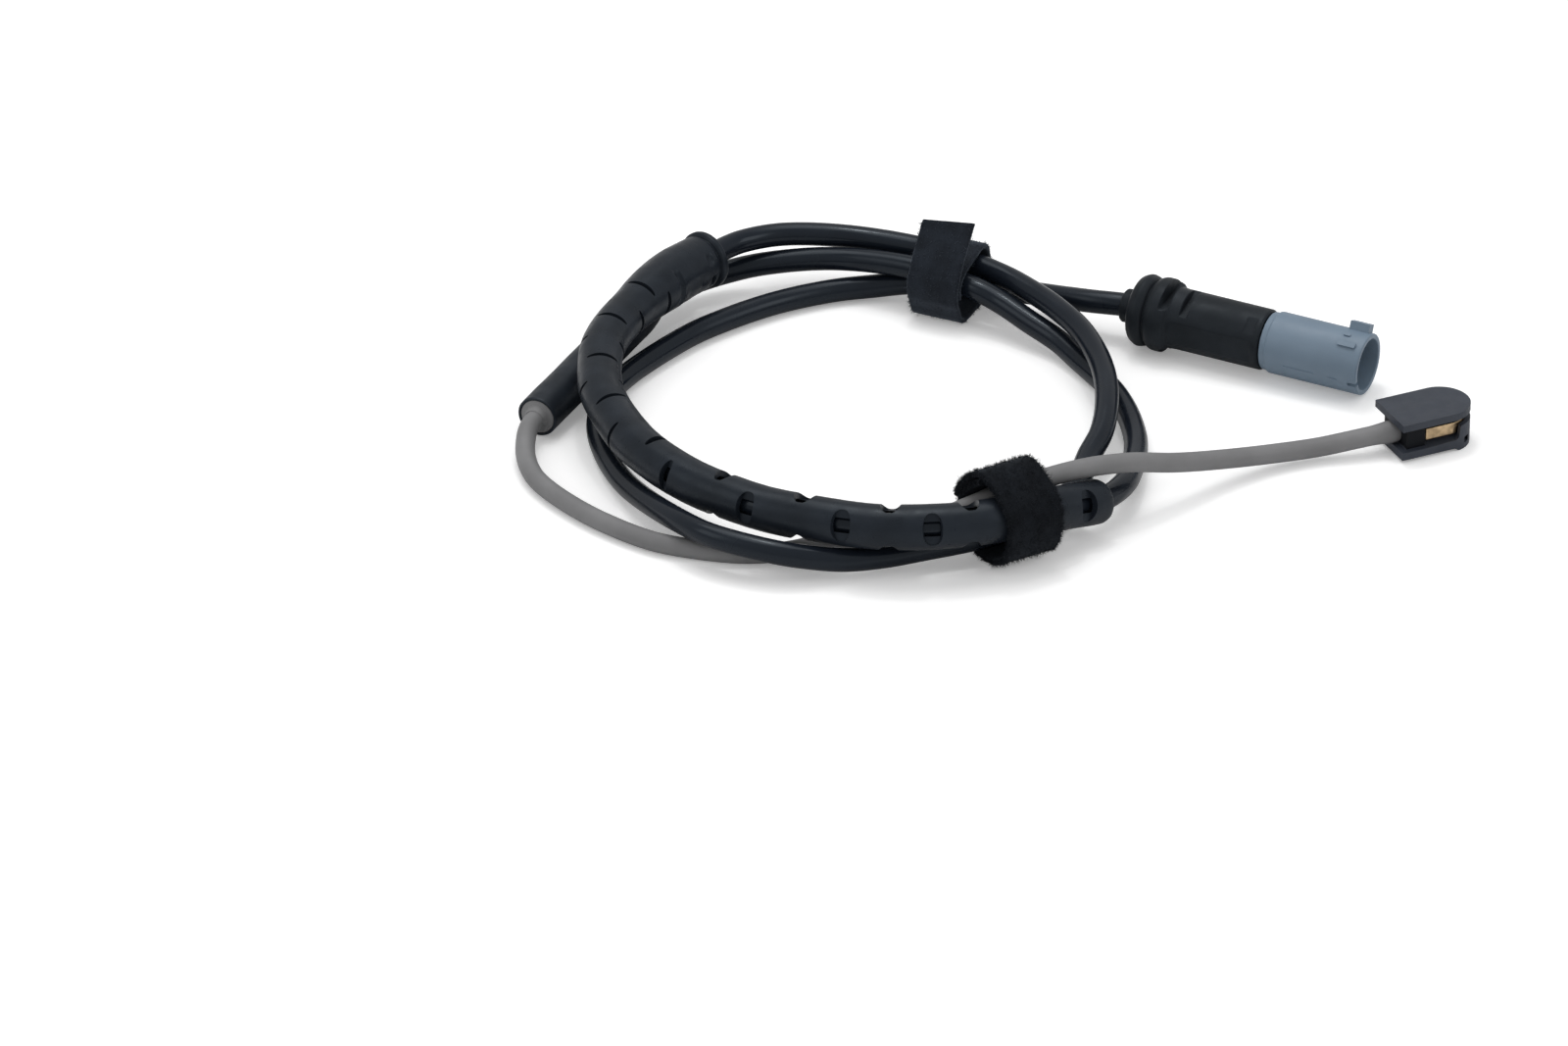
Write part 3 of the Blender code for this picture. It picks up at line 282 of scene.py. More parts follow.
def wave_noise(points, pitch, seed):
    """Soft noise, about -1 to 1: a sum of sine waves in random directions, finer in each octave."""
    random = np.random.default_rng(seed)
    total = np.zeros(points.shape[:-1])
    for octave in range(OCTAVES):
        directions = random.normal(size=(points.shape[-1], WAVES))
        directions /= np.linalg.norm(directions, axis=0)
        turns = points @ directions * (math.tau * 2 ** octave / pitch)
        waves = np.sin(turns + random.uniform(0, math.tau, WAVES))
        total += waves.sum(axis=-1) / (WAVE_SCALE * 2 ** octave)
    return total / NOISE_SCALE


# Meshes

def surface(name, points, wrap_rows=False, along=None, around=None):
    """Quads over a grid of points (rows, columns, 3), with a UV map in metres, welded and facing out."""
    rows, columns = points.shape[:2]
    i, j = np.meshgrid(np.arange(rows if wrap_rows else rows - 1), np.arange(columns), indexing="ij")
    i, j = i.ravel(), j.ravel()
    corner_i = np.stack([i, i + 1, i + 1, i], 1)
    corner_j = np.stack([j, j, j + 1, j + 1], 1)
    faces = (corner_i % rows) * columns + corner_j % columns
    along = np.arange(rows + 1) * MM if along is None else np.append(along, along[-1])
    around = np.arange(columns + 1) * MM if around is None else np.append(around, around[-1])
    data = bpy.data.meshes.new(name)
    data.from_pydata(points.reshape(-1, 3), [], faces)
    uv = data.uv_layers.new(name="Length")
    uv.data.foreach_set("uv", np.stack([along[corner_i], around[corner_j]], -1).astype(np.float32).ravel())
    return tidy(data)


def tidy(data, sharp=38):
    """The mesh with doubles merged, faces out and smooth shading but for edges over the sharp angle."""
    shape = bmesh.new()
    shape.from_mesh(data)
    bmesh.ops.remove_doubles(shape, verts=shape.verts, dist=WELD)
    bmesh.ops.dissolve_degenerate(shape, edges=shape.edges, dist=WELD / 4)
    bmesh.ops.recalc_face_normals(shape, faces=shape.faces)
    shape.to_mesh(data)
    shape.free()
    data.shade_smooth()
    data.set_sharp_from_angle(angle=math.radians(sharp))
    return data


def add_object(name, data):
    """An object for the data, linked to the scene."""
    made = bpy.data.objects.new(name, data)
    bpy.context.scene.collection.objects.link(made)
    return made


def piece(name, data, finish_name, nodes=()):
    """An object for the mesh, with its finish, riding on the body in the place of its CAD nodes."""
    made = add_object(name, data)
    data.materials.clear()
    data.materials.append(get_finish(finish_name))
    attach(made, "root")
    if nodes:
        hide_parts(*nodes)
    return made


def line_axes(line):
    """Side and up vectors along a line that is never steep."""
    forward = unit(np.gradient(line, axis=0))
    side = unit(np.cross(forward, UP))
    return side, np.cross(side, forward)


def swept(line, radii, sides, ends=True):
    """Grid of a tube: at each point of the line a circle square to it; closed ends run in to the middle."""
    radii = np.broadcast_to(np.asarray(radii, float), (len(line),))
    side, up = line_axes(line)
    if ends:
        line, side, up = (np.vstack([v[:1], v[:1], v, v[-1:], v[-1:]]) for v in (line, side, up))
        radii = np.concatenate([[0.0, radii[0] * END_SHARE], radii, [radii[-1] * END_SHARE, 0.0]])
    angle = angles_round(sides)
    ring = np.cos(angle)[None, :, None] * side[:, None] + np.sin(angle)[None, :, None] * up[:, None]
    return line[:, None] + radii[:, None, None] * ring


def turned(axes, profile, sides, across=0.0, up=0.0):
    """Grid of a turned shape: the profile of (station, radius) carried round the group's X axis."""
    profile = np.asarray(profile, float)
    angle = angles_round(sides)
    grid = np.empty((len(profile), sides, 3))
    grid[..., 0] = profile[:, None, 0]
    grid[..., 1] = across + profile[:, None, 1] * np.cos(angle)
    grid[..., 2] = up + profile[:, None, 1] * np.sin(angle)
    return axes(grid)


def box_grid(low, high, soften):
    """Grid of a box with softened corners: its rounded plan carried up, closed at both ends."""
    x0, y0, z0 = low
    x1, y1, z1 = high
    plan = softened([(x0, y0), (x1, y0), (x1, y1), (x0, y1)], soften)
    middle = np.array([(x0 + x1) / 2, (y0 + y1) / 2])
    return np.stack([np.column_stack([middle + (plan - middle) * share, np.full(len(plan), z)])
                     for z, share in ((z0, 0.0), (z0, 1.0), (z1, 1.0), (z1, 0.0))])


def capped(grid):
    """The grid with one more row at each end, all of it at the middle of the end row."""
    first, last = (row.mean(axis=1, keepdims=True).repeat(grid.shape[1], 1)
                   for row in (grid[:1], grid[-1:]))
    return np.concatenate([first, grid, last])


def prism(name, outline, axis, low, high, axes):
    """Mesh of a flat outline carried along one axis of the group, its two ends each one face."""
    outline = np.asarray(outline, float)
    count = len(outline)
    points = np.vstack([np.insert(outline, axis, where, axis=1) for where in (low, high)])
    k = np.arange(count)
    sides = np.stack([k, (k + 1) % count, (k + 1) % count + count, k + count], 1)
    faces = [*sides.tolist(), k.tolist(), (k[::-1] + count).tolist()]
    data = bpy.data.meshes.new(name)
    data.from_pydata(axes(points), [], faces)
    return tidy(data)


def combined(target, tools):
    """The target's mesh after each (mesh, operation) is applied to it by Boolean."""
    made = add_object("target", target)
    used = [made]
    for data, operation in tools:
        used.append(add_object("helper", data))
        step = made.modifiers.new(operation, "BOOLEAN")
        step.operation = operation
        step.object = used[-1]
        step.solver = "EXACT"
    graph = bpy.context.evaluated_depsgraph_get()
    result = bpy.data.meshes.new_from_object(made.evaluated_get(graph))
    for item in used:
        bpy.data.objects.remove(item, do_unlink=True)
    return result


def bevel(made, width, segments, angle):
    """Soft edges of the width wherever two faces meet at more than the angle."""
    step = made.modifiers.new("soft_edges", "BEVEL")
    step.width = width
    step.segments = segments
    step.limit_method = "ANGLE"
    step.angle_limit = math.radians(angle)


# Finishes

WHITE = (1.0, 1.0, 1.0)
COOL_GLOSS = (0.82, 0.92, 1.0)
# Near black painted on the web between the fork's arms, as painted shade in the recess under the top plate
WEB_SHADE_COLOUR, CORE_COLOUR = (0.005, 0.006, 0.008), (0.04, 0.04, 0.045)
BRASS_COLOUR, CONTACT_COLOUR = (0.68, 0.5, 0.3), (0.62, 0.6, 0.55)
SHEEN_COLOUR = (0.5, 0.58, 0.7)
# The middle range of a noise's values
NOISE_LOW, NOISE_HIGH = 0.35, 0.65
FINISHES = {}


def add_node(tree, kind, inputs=None, **settings):
    """A node with its settings and inputs; an input that is a socket is linked, any other is set."""
    node = tree.nodes.new("ShaderNode" + kind)
    for key, value in settings.items():
        setattr(node, key, value)
    for key, value in (inputs or {}).items():
        if isinstance(value, bpy.types.NodeSocket):
            tree.links.new(value, node.inputs[key])
        else:
            node.inputs[key].default_value = value
    return node


def finish(name, colour, roughness, metallic=0.0, specular=0.5, gloss=WHITE):
    """A Principled material, its node tree and its shader."""
    made = bpy.data.materials.new(name)
    made.use_nodes = True
    made.diffuse_color = (*colour, 1.0)
    shader = made.node_tree.nodes["Principled BSDF"]
    values = {"Base Color": (*colour, 1.0), "Roughness": roughness, "Metallic": metallic,
              "Specular IOR Level": specular, "Specular Tint": (*gloss, 1.0)}
    for key, value in values.items():
        shader.inputs[key].default_value = value
    return made, made.node_tree, shader


def noise(tree, scale, detail=4.0, stretch=(1.0, 1.0, 1.0), on_length=False):
    """Noise on the piece's own coordinates, or on its UV map in metres."""
    place = add_node(tree, "TexCoord").outputs["UV" if on_length else "Object"]
    mapped = add_node(tree, "Mapping", {"Vector": place, "Scale": stretch}).outputs["Vector"]
    return add_node(tree, "TexNoise", {"Vector": mapped, "Scale": scale, "Detail": detail}).outputs["Fac"]


def spread(tree, value, low, high):
    """The value's middle range mapped to low and high."""
    inputs = {"Value": value, "From Min": NOISE_LOW, "From Max": NOISE_HIGH, "To Min": low, "To Max": high}
    return add_node(tree, "MapRange", inputs).outputs["Result"]


def shade(colour, factor):
    """The colour times the factor, no more than 1."""
    return tuple(min(1.0, c * factor) for c in colour)


def tint(tree, shader, value, colour, dark, light):
    """Base colour between the dark and the light multiple of the colour, by the value."""
    dark, light = (*shade(colour, dark), 1.0), (*shade(colour, light), 1.0)
    inputs = {"Factor": spread(tree, value, 0.0, 1.0), "A": dark, "B": light}
    mix = add_node(tree, "Mix", inputs, data_type="RGBA")
    tree.links.new(mix.outputs["Result"], shader.inputs["Base Color"])


def shine(tree, shader, value, low, high):
    """Roughness between low and high, by the value."""
    tree.links.new(spread(tree, value, low, high), shader.inputs["Roughness"])


def relief(tree, shader, *layers):
    """Bumps laid one on the next: (height, strength, distance in millimetres) for each."""
    last = {}
    for height, strength, distance in layers:
        inputs = {"Height": height, "Strength": strength, "Distance": distance * MM}
        last = {"Normal": add_node(tree, "Bump", inputs | last).outputs["Normal"]}
    tree.links.new(last["Normal"], shader.inputs["Normal"])


def jacket_finish(name, colour, rough, specular, gloss=WHITE):
    """Extruded jacket: faint lengthwise drawing marks, soft colour change and patches of shine."""
    made, tree, shader = finish(name, colour, sum(rough) / 2, specular=specular, gloss=gloss)
    patches = noise(tree, 90.0, 3.0)
    tint(tree, shader, patches, colour, 0.9, 1.1)
    shine(tree, shader, noise(tree, 75.0, 3.0), *rough)
    drawn = noise(tree, 1.0, 2.0, (160.0, 2600.0, 1.0), on_length=True)
    relief(tree, shader, (patches, 0.1, 0.4), (drawn, 0.05, 0.03), (noise(tree, 2200.0, 2.0), 0.04, 0.03))
    return made


def moulded_finish(name, colour, rough, grain=2600.0, depth=0.05, specular=0.4, mottle=0.18, gloss=WHITE):
    """Moulded rubber or plastic: fine grain, soft flow marks and a slight change of shine."""
    made, tree, shader = finish(name, colour, sum(rough) / 2, specular=specular, gloss=gloss)
    flow = noise(tree, 120.0, 4.0, (1.0, 1.6, 1.0))
    tint(tree, shader, flow, colour, 1.0 - mottle, 1.0 + mottle)
    shine(tree, shader, noise(tree, 320.0, 5.0), *rough)
    relief(tree, shader, (flow, 0.1, 0.5), (noise(tree, grain, 3.0), 0.25, depth))
    return made


def metal_finish(name, colour, rough):
    """Stamped metal: brushed lines along the strip, dull patches."""
    made, tree, shader = finish(name, colour, sum(rough) / 2, metallic=1.0)
    dull = noise(tree, 700.0, 4.0)
    tint(tree, shader, dull, colour, 0.7, 1.05)
    shine(tree, shader, dull, rough[1], rough[0])
    relief(tree, shader, (noise(tree, 1.0, 2.0, (400.0, 9000.0, 1.0), on_length=True), 0.2, 0.03))
    return made


def cloth_finish(name, colour, sheen):
    """Looped cloth: a fine knit in the UV map's directions under soft, matt fuzz."""
    made, tree, shader = finish(name, colour, 0.95, specular=0.15)
    shader.inputs["Sheen Weight"].default_value = sheen
    shader.inputs["Sheen Roughness"].default_value = 0.5
    shader.inputs["Sheen Tint"].default_value = (*SHEEN_COLOUR, 1.0)
    loops = noise(tree, 1.0, 3.0, (2600.0, 1900.0, 1.0), on_length=True)
    tint(tree, shader, noise(tree, 230.0, 4.0), colour, 0.75, 1.35)
    relief(tree, shader, (loops, 0.7, 0.12), (noise(tree, 5200.0, 3.0), 0.4, 0.06))
    return made


def get_finish(name):
    """The named finish, made when it is first asked for."""
    if name not in FINISHES:
        c = colours()
        makers = {
            "black_jacket": (jacket_finish, c.cable,
                             dict(rough=(0.12, 0.3), specular=0.26, gloss=COOL_GLOSS)),
            "grey_jacket": (jacket_finish, c.lead, dict(rough=(0.5, 0.62), specular=0.3)),
            "core_insulation": (jacket_finish, CORE_COLOUR, dict(rough=(0.4, 0.5), specular=0.4)),
            "sleeve_rubber": (moulded_finish, c.sleeve,
                              dict(rough=(0.26, 0.42), specular=0.2, gloss=COOL_GLOSS)),
            "splice_rubber": (moulded_finish, c.sleeve,
                              dict(rough=(0.4, 0.54), specular=0.24, gloss=COOL_GLOSS)),
            "body_rubber": (moulded_finish, c.body,
                            dict(rough=(0.36, 0.5), grain=3200.0, specular=0.13, gloss=COOL_GLOSS)),
            # Painted shade: the near black of the web between the fork's arms
            "web_rubber": (moulded_finish, WEB_SHADE_COLOUR, dict(rough=(0.5, 0.6), specular=0.15)),
            "shroud_plastic": (moulded_finish, c.shroud,
                               dict(rough=(0.42, 0.52), grain=3600.0, depth=0.03, mottle=0.04)),
            "head_plastic": (moulded_finish, c.head,
                             dict(rough=(0.45, 0.6), grain=3600.0, depth=0.04, mottle=0.08)),
            # One strap cloth, painted 1.3 times lighter on the upper strap and half as bright on the lower
            # one: painted light and painted shade
            "upper_cloth": (cloth_finish, shade(c.strap, 1.3), dict(sheen=0.32)),
            "lower_cloth": (cloth_finish, shade(c.strap, 0.5), dict(sheen=0.1)),
            "brass_strip": (metal_finish, BRASS_COLOUR, dict(rough=(0.28, 0.5))),
            "contact_metal": (metal_finish, CONTACT_COLOUR, dict(rough=(0.25, 0.45)))}
        maker, colour, options = makers[name]
        FINISHES[name] = maker(name, colour, **options)
    return FINISHES[name]


# Routes

def black_route(step):
    """The black cable's line and the distances along it at which the sleeve starts and ends."""
    before = np.vstack([PLUG([(CABLE_IN_PLUG, 0, 0), (CABLE_IN_PLUG / 2, 0, 0), (0, 0, 0)]),
                        metres(RUN_UNDER_SLEEVE), metres(LOOP_TO_FLANGE)])
    inside = metres(RUN_IN_SLEEVE)
    after = np.vstack([metres(LOOP_TO_SPLICE), SPLICE([(0, 0, 0), (CABLE_IN_SPLICE, 0, 0)])])
    line = route(np.vstack([before, inside, after]), step)
    s = distances(line)
    ends = [s[np.argmin(np.linalg.norm(line - inside[k], axis=1))] for k in (0, -1)]
    return line, ends[0], ends[1]


def sleeve_route(step):
    """The part of the black cable's line that lies in the sleeve, read at even steps."""
    line, start, end = black_route(0.25 * MM)
    return read_line(line, np.linspace(start, end, round((end - start) / step) + 1))


def lead_route(step):
    """The grey lead's line, from inside the splice to inside the head."""
    web = WEB_START + LEAD_IN_WEB
    middle = HEAD_HEIGHT / 2
    return route(np.vstack([SPLICE([(SPLICE_LENGTH - CABLE_IN_SPLICE, 0, 0), (SPLICE_LENGTH, 0, 0)]),
                            metres(LEAD_RUN), HEAD([(0, 0, middle), (web, 0, middle)])]), step)


class SENSOR_OT_stage(bpy.types.Operator):
    """Pale floor, soft studio light and the camera at the photograph's viewing angle"""

    bl_idname = "sensor.stage"
    bl_label = "Stage"

    FLOOR_HALF = 3.0
    FLOOR_COLOUR = (0.8, 0.8, 0.8)
    FLOOR_GLOW = 0.22           # light that the floor gives to the camera alone
    WORLD_LIGHT = 0.55
    CAMERA_AIM = np.array((-43.5, -37.6, 0.0)) * MM
    CAMERA_DISTANCE = 2.0
    CAMERA_ELEVATION = math.radians(30)
    CAMERA_NEAR, CAMERA_FAR = 0.05, 20.0
    FRAME_WIDTH = 0.32          # what the picture's width covers at the aim, in metres
    SENSOR_WIDTH = 36.0
    # Name, place, side and power of each square lamp; all face the origin
    LAMPS = (("top_lamp", (-0.1, 0.25, 0.9), 0.7, 3.0), ("streak_lamp", (-0.05, 0.3, 0.95), 0.08, 0.7),
             ("left_lamp", (-0.8, -0.3, 0.6), 0.5, 0.9), ("right_lamp", (0.8, -0.3, 0.6), 0.5, 1.3))

    def execute(self, context):
        self.add_camera(context)
        self.add_floor()
        self.add_world(context)
        self.add_lamps()
        context.scene.view_settings.view_transform = "Standard"
        return {"FINISHED"}

    def add_camera(self, context):
        """Camera at its distance from the aim, straight back and up by its elevation."""
        data = bpy.data.cameras.new("camera")
        data.sensor_width = self.SENSOR_WIDTH
        data.lens = self.SENSOR_WIDTH * self.CAMERA_DISTANCE / self.FRAME_WIDTH
        data.clip_start = self.CAMERA_NEAR
        data.clip_end = self.CAMERA_FAR
        camera = add_object("camera", data)
        tilt = self.CAMERA_ELEVATION
        back = np.array((0.0, -math.cos(tilt), math.sin(tilt))) * self.CAMERA_DISTANCE
        camera.location = self.CAMERA_AIM + back
        camera.rotation_euler = (math.pi / 2 - tilt, 0.0, 0.0)
        context.scene.camera = camera

    def add_floor(self):
        """One square that the camera sees white, so that the background has only soft shadows."""
        h = self.FLOOR_HALF
        data = bpy.data.meshes.new("floor")
        data.from_pydata([(-h, -h, 0), (h, -h, 0), (h, h, 0), (-h, h, 0)], [], [(0, 1, 2, 3)])
        floor = add_object("floor", data)
        made, tree, shader = finish("floor_paint", self.FLOOR_COLOUR, 0.9, specular=0.1)
        seen = add_node(tree, "LightPath").outputs["Is Camera Ray"]
        inputs = {"Factor": seen, "A": (*self.FLOOR_COLOUR, 1.0), "B": (*WHITE, 1.0)}
        paint = add_node(tree, "Mix", inputs, data_type="RGBA").outputs["Result"]
        tree.links.new(paint, shader.inputs["Base Color"])
        glow = add_node(tree, "Math", {0: seen, 1: self.FLOOR_GLOW}, operation="MULTIPLY")
        tree.links.new(glow.outputs["Value"], shader.inputs["Emission Strength"])
        shader.inputs["Emission Color"].default_value = (*WHITE, 1.0)
        data.materials.append(made)

    def add_world(self, context):
        """Even white light from all sides, and plain white wherever the camera sees the world."""
        world = bpy.data.worlds.new("studio")
        world.use_nodes = True
        tree = world.node_tree
        light = tree.nodes["Background"]
        light.inputs["Color"].default_value = (*WHITE, 1.0)
        light.inputs["Strength"].default_value = self.WORLD_LIGHT
        shown = add_node(tree, "Background", {"Color": (*WHITE, 1.0)})
        rays = add_node(tree, "LightPath").outputs
        either = add_node(tree, "Math", {0: rays["Is Camera Ray"], 1: rays["Is Transmission Ray"]},
                          operation="MAXIMUM")
        mix = add_node(tree, "MixShader", {"Fac": either.outputs["Value"], 1: light.outputs["Background"],
                                           2: shown.outputs["Background"]})
        tree.links.new(mix.outputs["Shader"], tree.nodes["World Output"].inputs["Surface"])
        context.scene.world = world

    def add_lamps(self):
        """Square lamps, each turned from its place to the origin."""
        for name, place, side, power in self.LAMPS:
            data = bpy.data.lights.new(name, "AREA")
            data.shape = "SQUARE"
            data.size = side
            data.energy = power
            lamp = add_object(name, data)
            lamp.location = place
            x, y, z = -np.asarray(place)
            lamp.rotation_euler = (math.pi / 2 + math.atan2(z, math.hypot(x, y)), 0.0,
                                   math.atan2(y, x) - math.pi / 2)


class SENSOR_OT_cables(bpy.types.Operator):
    """The black cable and the grey lead, each a tube carried along its route"""

    bl_idname = "sensor.cables"
    bl_label = "Cables"

    STEP = 0.8 * MM
    SIDES = 28
    FLARE_LENGTH = 9.0 * MM
    FLARE = 1.17

    def execute(self, context):
        size = sizes()
        line, _, _ = black_route(self.STEP)
        self.add_cord("black_cable_jacket", "black_jacket", "black_cable", line, size.cable_diameter)
        line = lead_route(self.STEP)
        self.add_cord("grey_lead_jacket", "grey_jacket", "grey_cable", line, size.lead_diameter,
                      self.lead_flare(line))
        return {"FINISHED"}

    def lead_flare(self, line):
        """Multiple of the lead's radius: it grows towards the head, and is 1 again inside the head."""
        left = distances(line)[-1] - distances(line)
        near = 1.0 - smooth_step(left, LEAD_IN_WEB + 0.5 * MM, self.FLARE_LENGTH)
        return np.where(left < LEAD_IN_WEB, 1.0, 1.0 + (self.FLARE - 1.0) * near)

    def add_cord(self, name, finish_name, node, line, diameter, flare=1.0):
        """A tube along the line, half the diameter in radius times the flare."""
        grid = swept(line, diameter / 2 * flare, self.SIDES)
        length = float(distances(line)[-1])
        along = np.linspace(0.0, length, len(grid))
        around = np.linspace(0.0, math.pi * diameter, self.SIDES + 1)[:-1]
        made = piece(name, surface(name, grid, along=along, around=around), finish_name, (node,))


class SENSOR_OT_plug_body(bpy.types.Operator):
    """Black rubber body of the plug: turned, with two grip ribs, grip slots and a side flat"""

    bl_idname = "sensor.plug_body"
    bl_label = "Plug body"

    SIDES = 176
    # Station, width, middle angle in degrees and depth of each straight cut, in millimetres
    SLOTS = ((11.1, 1.8, 4, 1.6), (15.5, 1.7, 14, 1.7), (30.6, 2.4, 40, 0.3))
    FLAT_MIDDLE = math.radians(92)
    FLAT_DEPTH = 0.5 * MM
    FLAT_START, FLAT_END = (12.5 * MM, 14.5 * MM), (31.0 * MM, 31.6 * MM)
    LEAST_COSINE = 0.2          # past it a straight cut lies outside the body

    def execute(self, context):
        bore = sizes().cable_diameter / 2 + CLEARANCE
        outer = self.outer_profile()
        hollow = BODY_RADIUS - BODY_WALL
        inner = np.array([(BODY_LENGTH, hollow), (CABLE_IN_PLUG + 1.0 * MM, hollow), (CABLE_IN_PLUG, bore),
                          (0.3 * MM, bore), (0.0, bore + 0.25 * MM)])
        profile = np.vstack([outer, inner])
        grid = self.shaped(profile, len(outer))
        data = surface("plug_body", grid, wrap_rows=True)
        piece("plug_body", data, "body_rubber", ("connector_body",))
        return {"FINISHED"}

    def outer_profile(self):
        """Collar, two round ribs, then the even body, read at close steps."""
        rib = RIB_RADIUS
        corners = np.array([
            (0.0, COLLAR_RADIUS - 0.3 * MM), (0.3 * MM, COLLAR_RADIUS), (2.1 * MM, COLLAR_RADIUS),
            (2.5 * MM, rib - 2.4 * MM), (3.2 * MM, rib - 0.8 * MM), (4.8 * MM, rib + 0.05 * MM),
            (6.4 * MM, rib - 0.4 * MM), (6.8 * MM, rib - 1.2 * MM), (7.2 * MM, rib - 0.4 * MM),
            (8.2 * MM, rib + 0.1 * MM), (10.2 * MM, rib + 0.1 * MM), (11.5 * MM, rib - 0.4 * MM),
            (12.0 * MM, BODY_RADIUS + 0.1 * MM), (13.4 * MM, BODY_RADIUS),
            (BODY_LENGTH - 0.35 * MM, BODY_RADIUS), (BODY_LENGTH, BODY_RADIUS - 0.35 * MM)])
        line = softened(corners, 0.6 * MM, 7, closed=False)
        return evenly(line, 0.16 * MM)

    def shaped(self, profile, outer_rows):
        """The turned grid; in its outer rows a cut's floor is its distance from the axis over a cosine."""
        angle = angles_round(self.SIDES)
        turn = wrapped(angle[None])
        radii = np.broadcast_to(profile[:, 1:], (len(profile), self.SIDES)).copy()
        outer, station = radii[:outer_rows], profile[:outer_rows, :1]
        share = smooth_step(station, *self.FLAT_START) * (1.0 - smooth_step(station, *self.FLAT_END))
        for side in (0.0, math.pi):
            for place, width, middle, depth in self.SLOTS:
                off = wrapped(turn - math.radians(middle) - side)
                floor = (BODY_RADIUS - depth * MM) / np.maximum(np.cos(off), self.LEAST_COSINE)
                half = width * MM / 2
                across = 1.0 - smooth_step(np.abs(station - place * MM), half - 0.12 * MM, half + 0.08 * MM)
                outer -= np.maximum(outer - floor, 0.0) * across
        for side in (0.0, math.pi):
            off = wrapped(turn - self.FLAT_MIDDLE - side)
            flat = (BODY_RADIUS - self.FLAT_DEPTH) / np.maximum(np.cos(off), self.LEAST_COSINE)
            outer += (np.minimum(outer, flat) - outer) * share
        grid = np.empty((len(profile), self.SIDES, 3))
        grid[..., 0] = profile[:, :1]
        grid[..., 1] = -radii * np.sin(angle)
        grid[..., 2] = radii * np.cos(angle)
        return PLUG(grid)


class SENSOR_OT_plug_shroud(bpy.types.Operator):
    """Blue-grey shroud: a turned socket with its key, rib, nub, score lines and rim notch"""

    bl_idname = "sensor.plug_shroud"
    bl_label = "Plug shroud"

    SIDES = 128
    # Key, rib, nub and two score lines: middle angle in degrees, then, in millimetres, the distance back
    # from the rim, the length, width and height, and the softening
    FORMS = ((-25, 5.3, 4.4, 2.6, 1.7, 0.15), (32, 5.6, 4.0, 1.3, 0.5, 0.3), (11, 5.2, 1.5, 0.7, 0.3, 0.2),
             (103, 16.6, 7.0, 0.34, 0.16, 0.1), (104, 6.4, 2.0, 0.34, 0.16, 0.1))
    SINK = 0.5 * MM
    NOTCH_ANGLE, NOTCH_HALF, NOTCH_DEPTH = 108, 0.45 * MM, 2.0 * MM

    def execute(self, context):
        start, end = BODY_LENGTH + CLEARANCE, PLUG_LENGTH
        outer, inner = SHROUD_RADIUS, SHROUD_RADIUS - SHROUD_WALL
        floor = end - SOCKET_DEPTH
        back = floor - SOCKET_FLOOR
        spigot = BODY_RADIUS - BODY_WALL - CLEARANCE
        room = PIN_SPACING / 2 + BARREL_DIAMETER / 2 + CLEARANCE
        corners = [
            (start - SPIGOT_LENGTH, room), (start - SPIGOT_LENGTH, spigot), (start, spigot),
            (start, outer - 0.45 * MM), (start + 1.3 * MM, outer - 0.35 * MM), (start + 1.55 * MM, outer),
            (end, outer), (end, inner), (floor, inner), (floor, 0.0), (back, 0.0), (back, room)]
        reach = np.array([0.2, 0.2, 0.05, 0.25, 0.1, 0.2, 0.35, 0.25, 0.3, 0.0, 0.0, 0.2]) * MM
        profile = softened(corners, np.maximum(reach, 1e-6), 5)
        base = surface("shroud", turned(PLUG, profile, self.SIDES), wrap_rows=True)
        tools = []
        for angle, away, length, width, height, soft in self.FORMS:
            low = (end - away * MM, -width * MM / 2, outer - self.SINK)
            high = (low[0] + length * MM, width * MM / 2, outer + height * MM)
            tools.append((self.on_side(angle, low, high, soft * MM), "UNION"))
        low = (end - self.NOTCH_DEPTH, -self.NOTCH_HALF, inner - OVER)
        high = (end + OVER, self.NOTCH_HALF, outer + OVER)
        tools.append((self.on_side(self.NOTCH_ANGLE, low, high, 0.2 * MM), "DIFFERENCE"))
        hole = PIN_DIAMETER / 2 + CLEARANCE
        drill = [(back - OVER, 0.0), (back - OVER, hole), (floor + OVER, hole), (floor + OVER, 0.0)]
        for side in (-1, 1):
            grid = turned(PLUG, drill, 32, across=side * PIN_SPACING / 2)
            tools.append((surface("pin_hole", grid), "DIFFERENCE"))
        made = piece("plug_shroud", tidy(combined(base, tools)), "shroud_plastic", ("connector_shroud",))
        bevel(made, 0.12 * MM, 2, 50)
        return {"FINISHED"}

    def on_side(self, angle, low, high, soft):
        """A softened block turned about the plug's axis, from the top towards the camera's side."""
        c, s = math.cos(math.radians(angle)), math.sin(math.radians(angle))
        turn = np.array([[1.0, 0.0, 0.0], [0.0, c, -s], [0.0, s, c]])
        return surface("block", PLUG(box_grid(low, high, soft) @ turn.T))


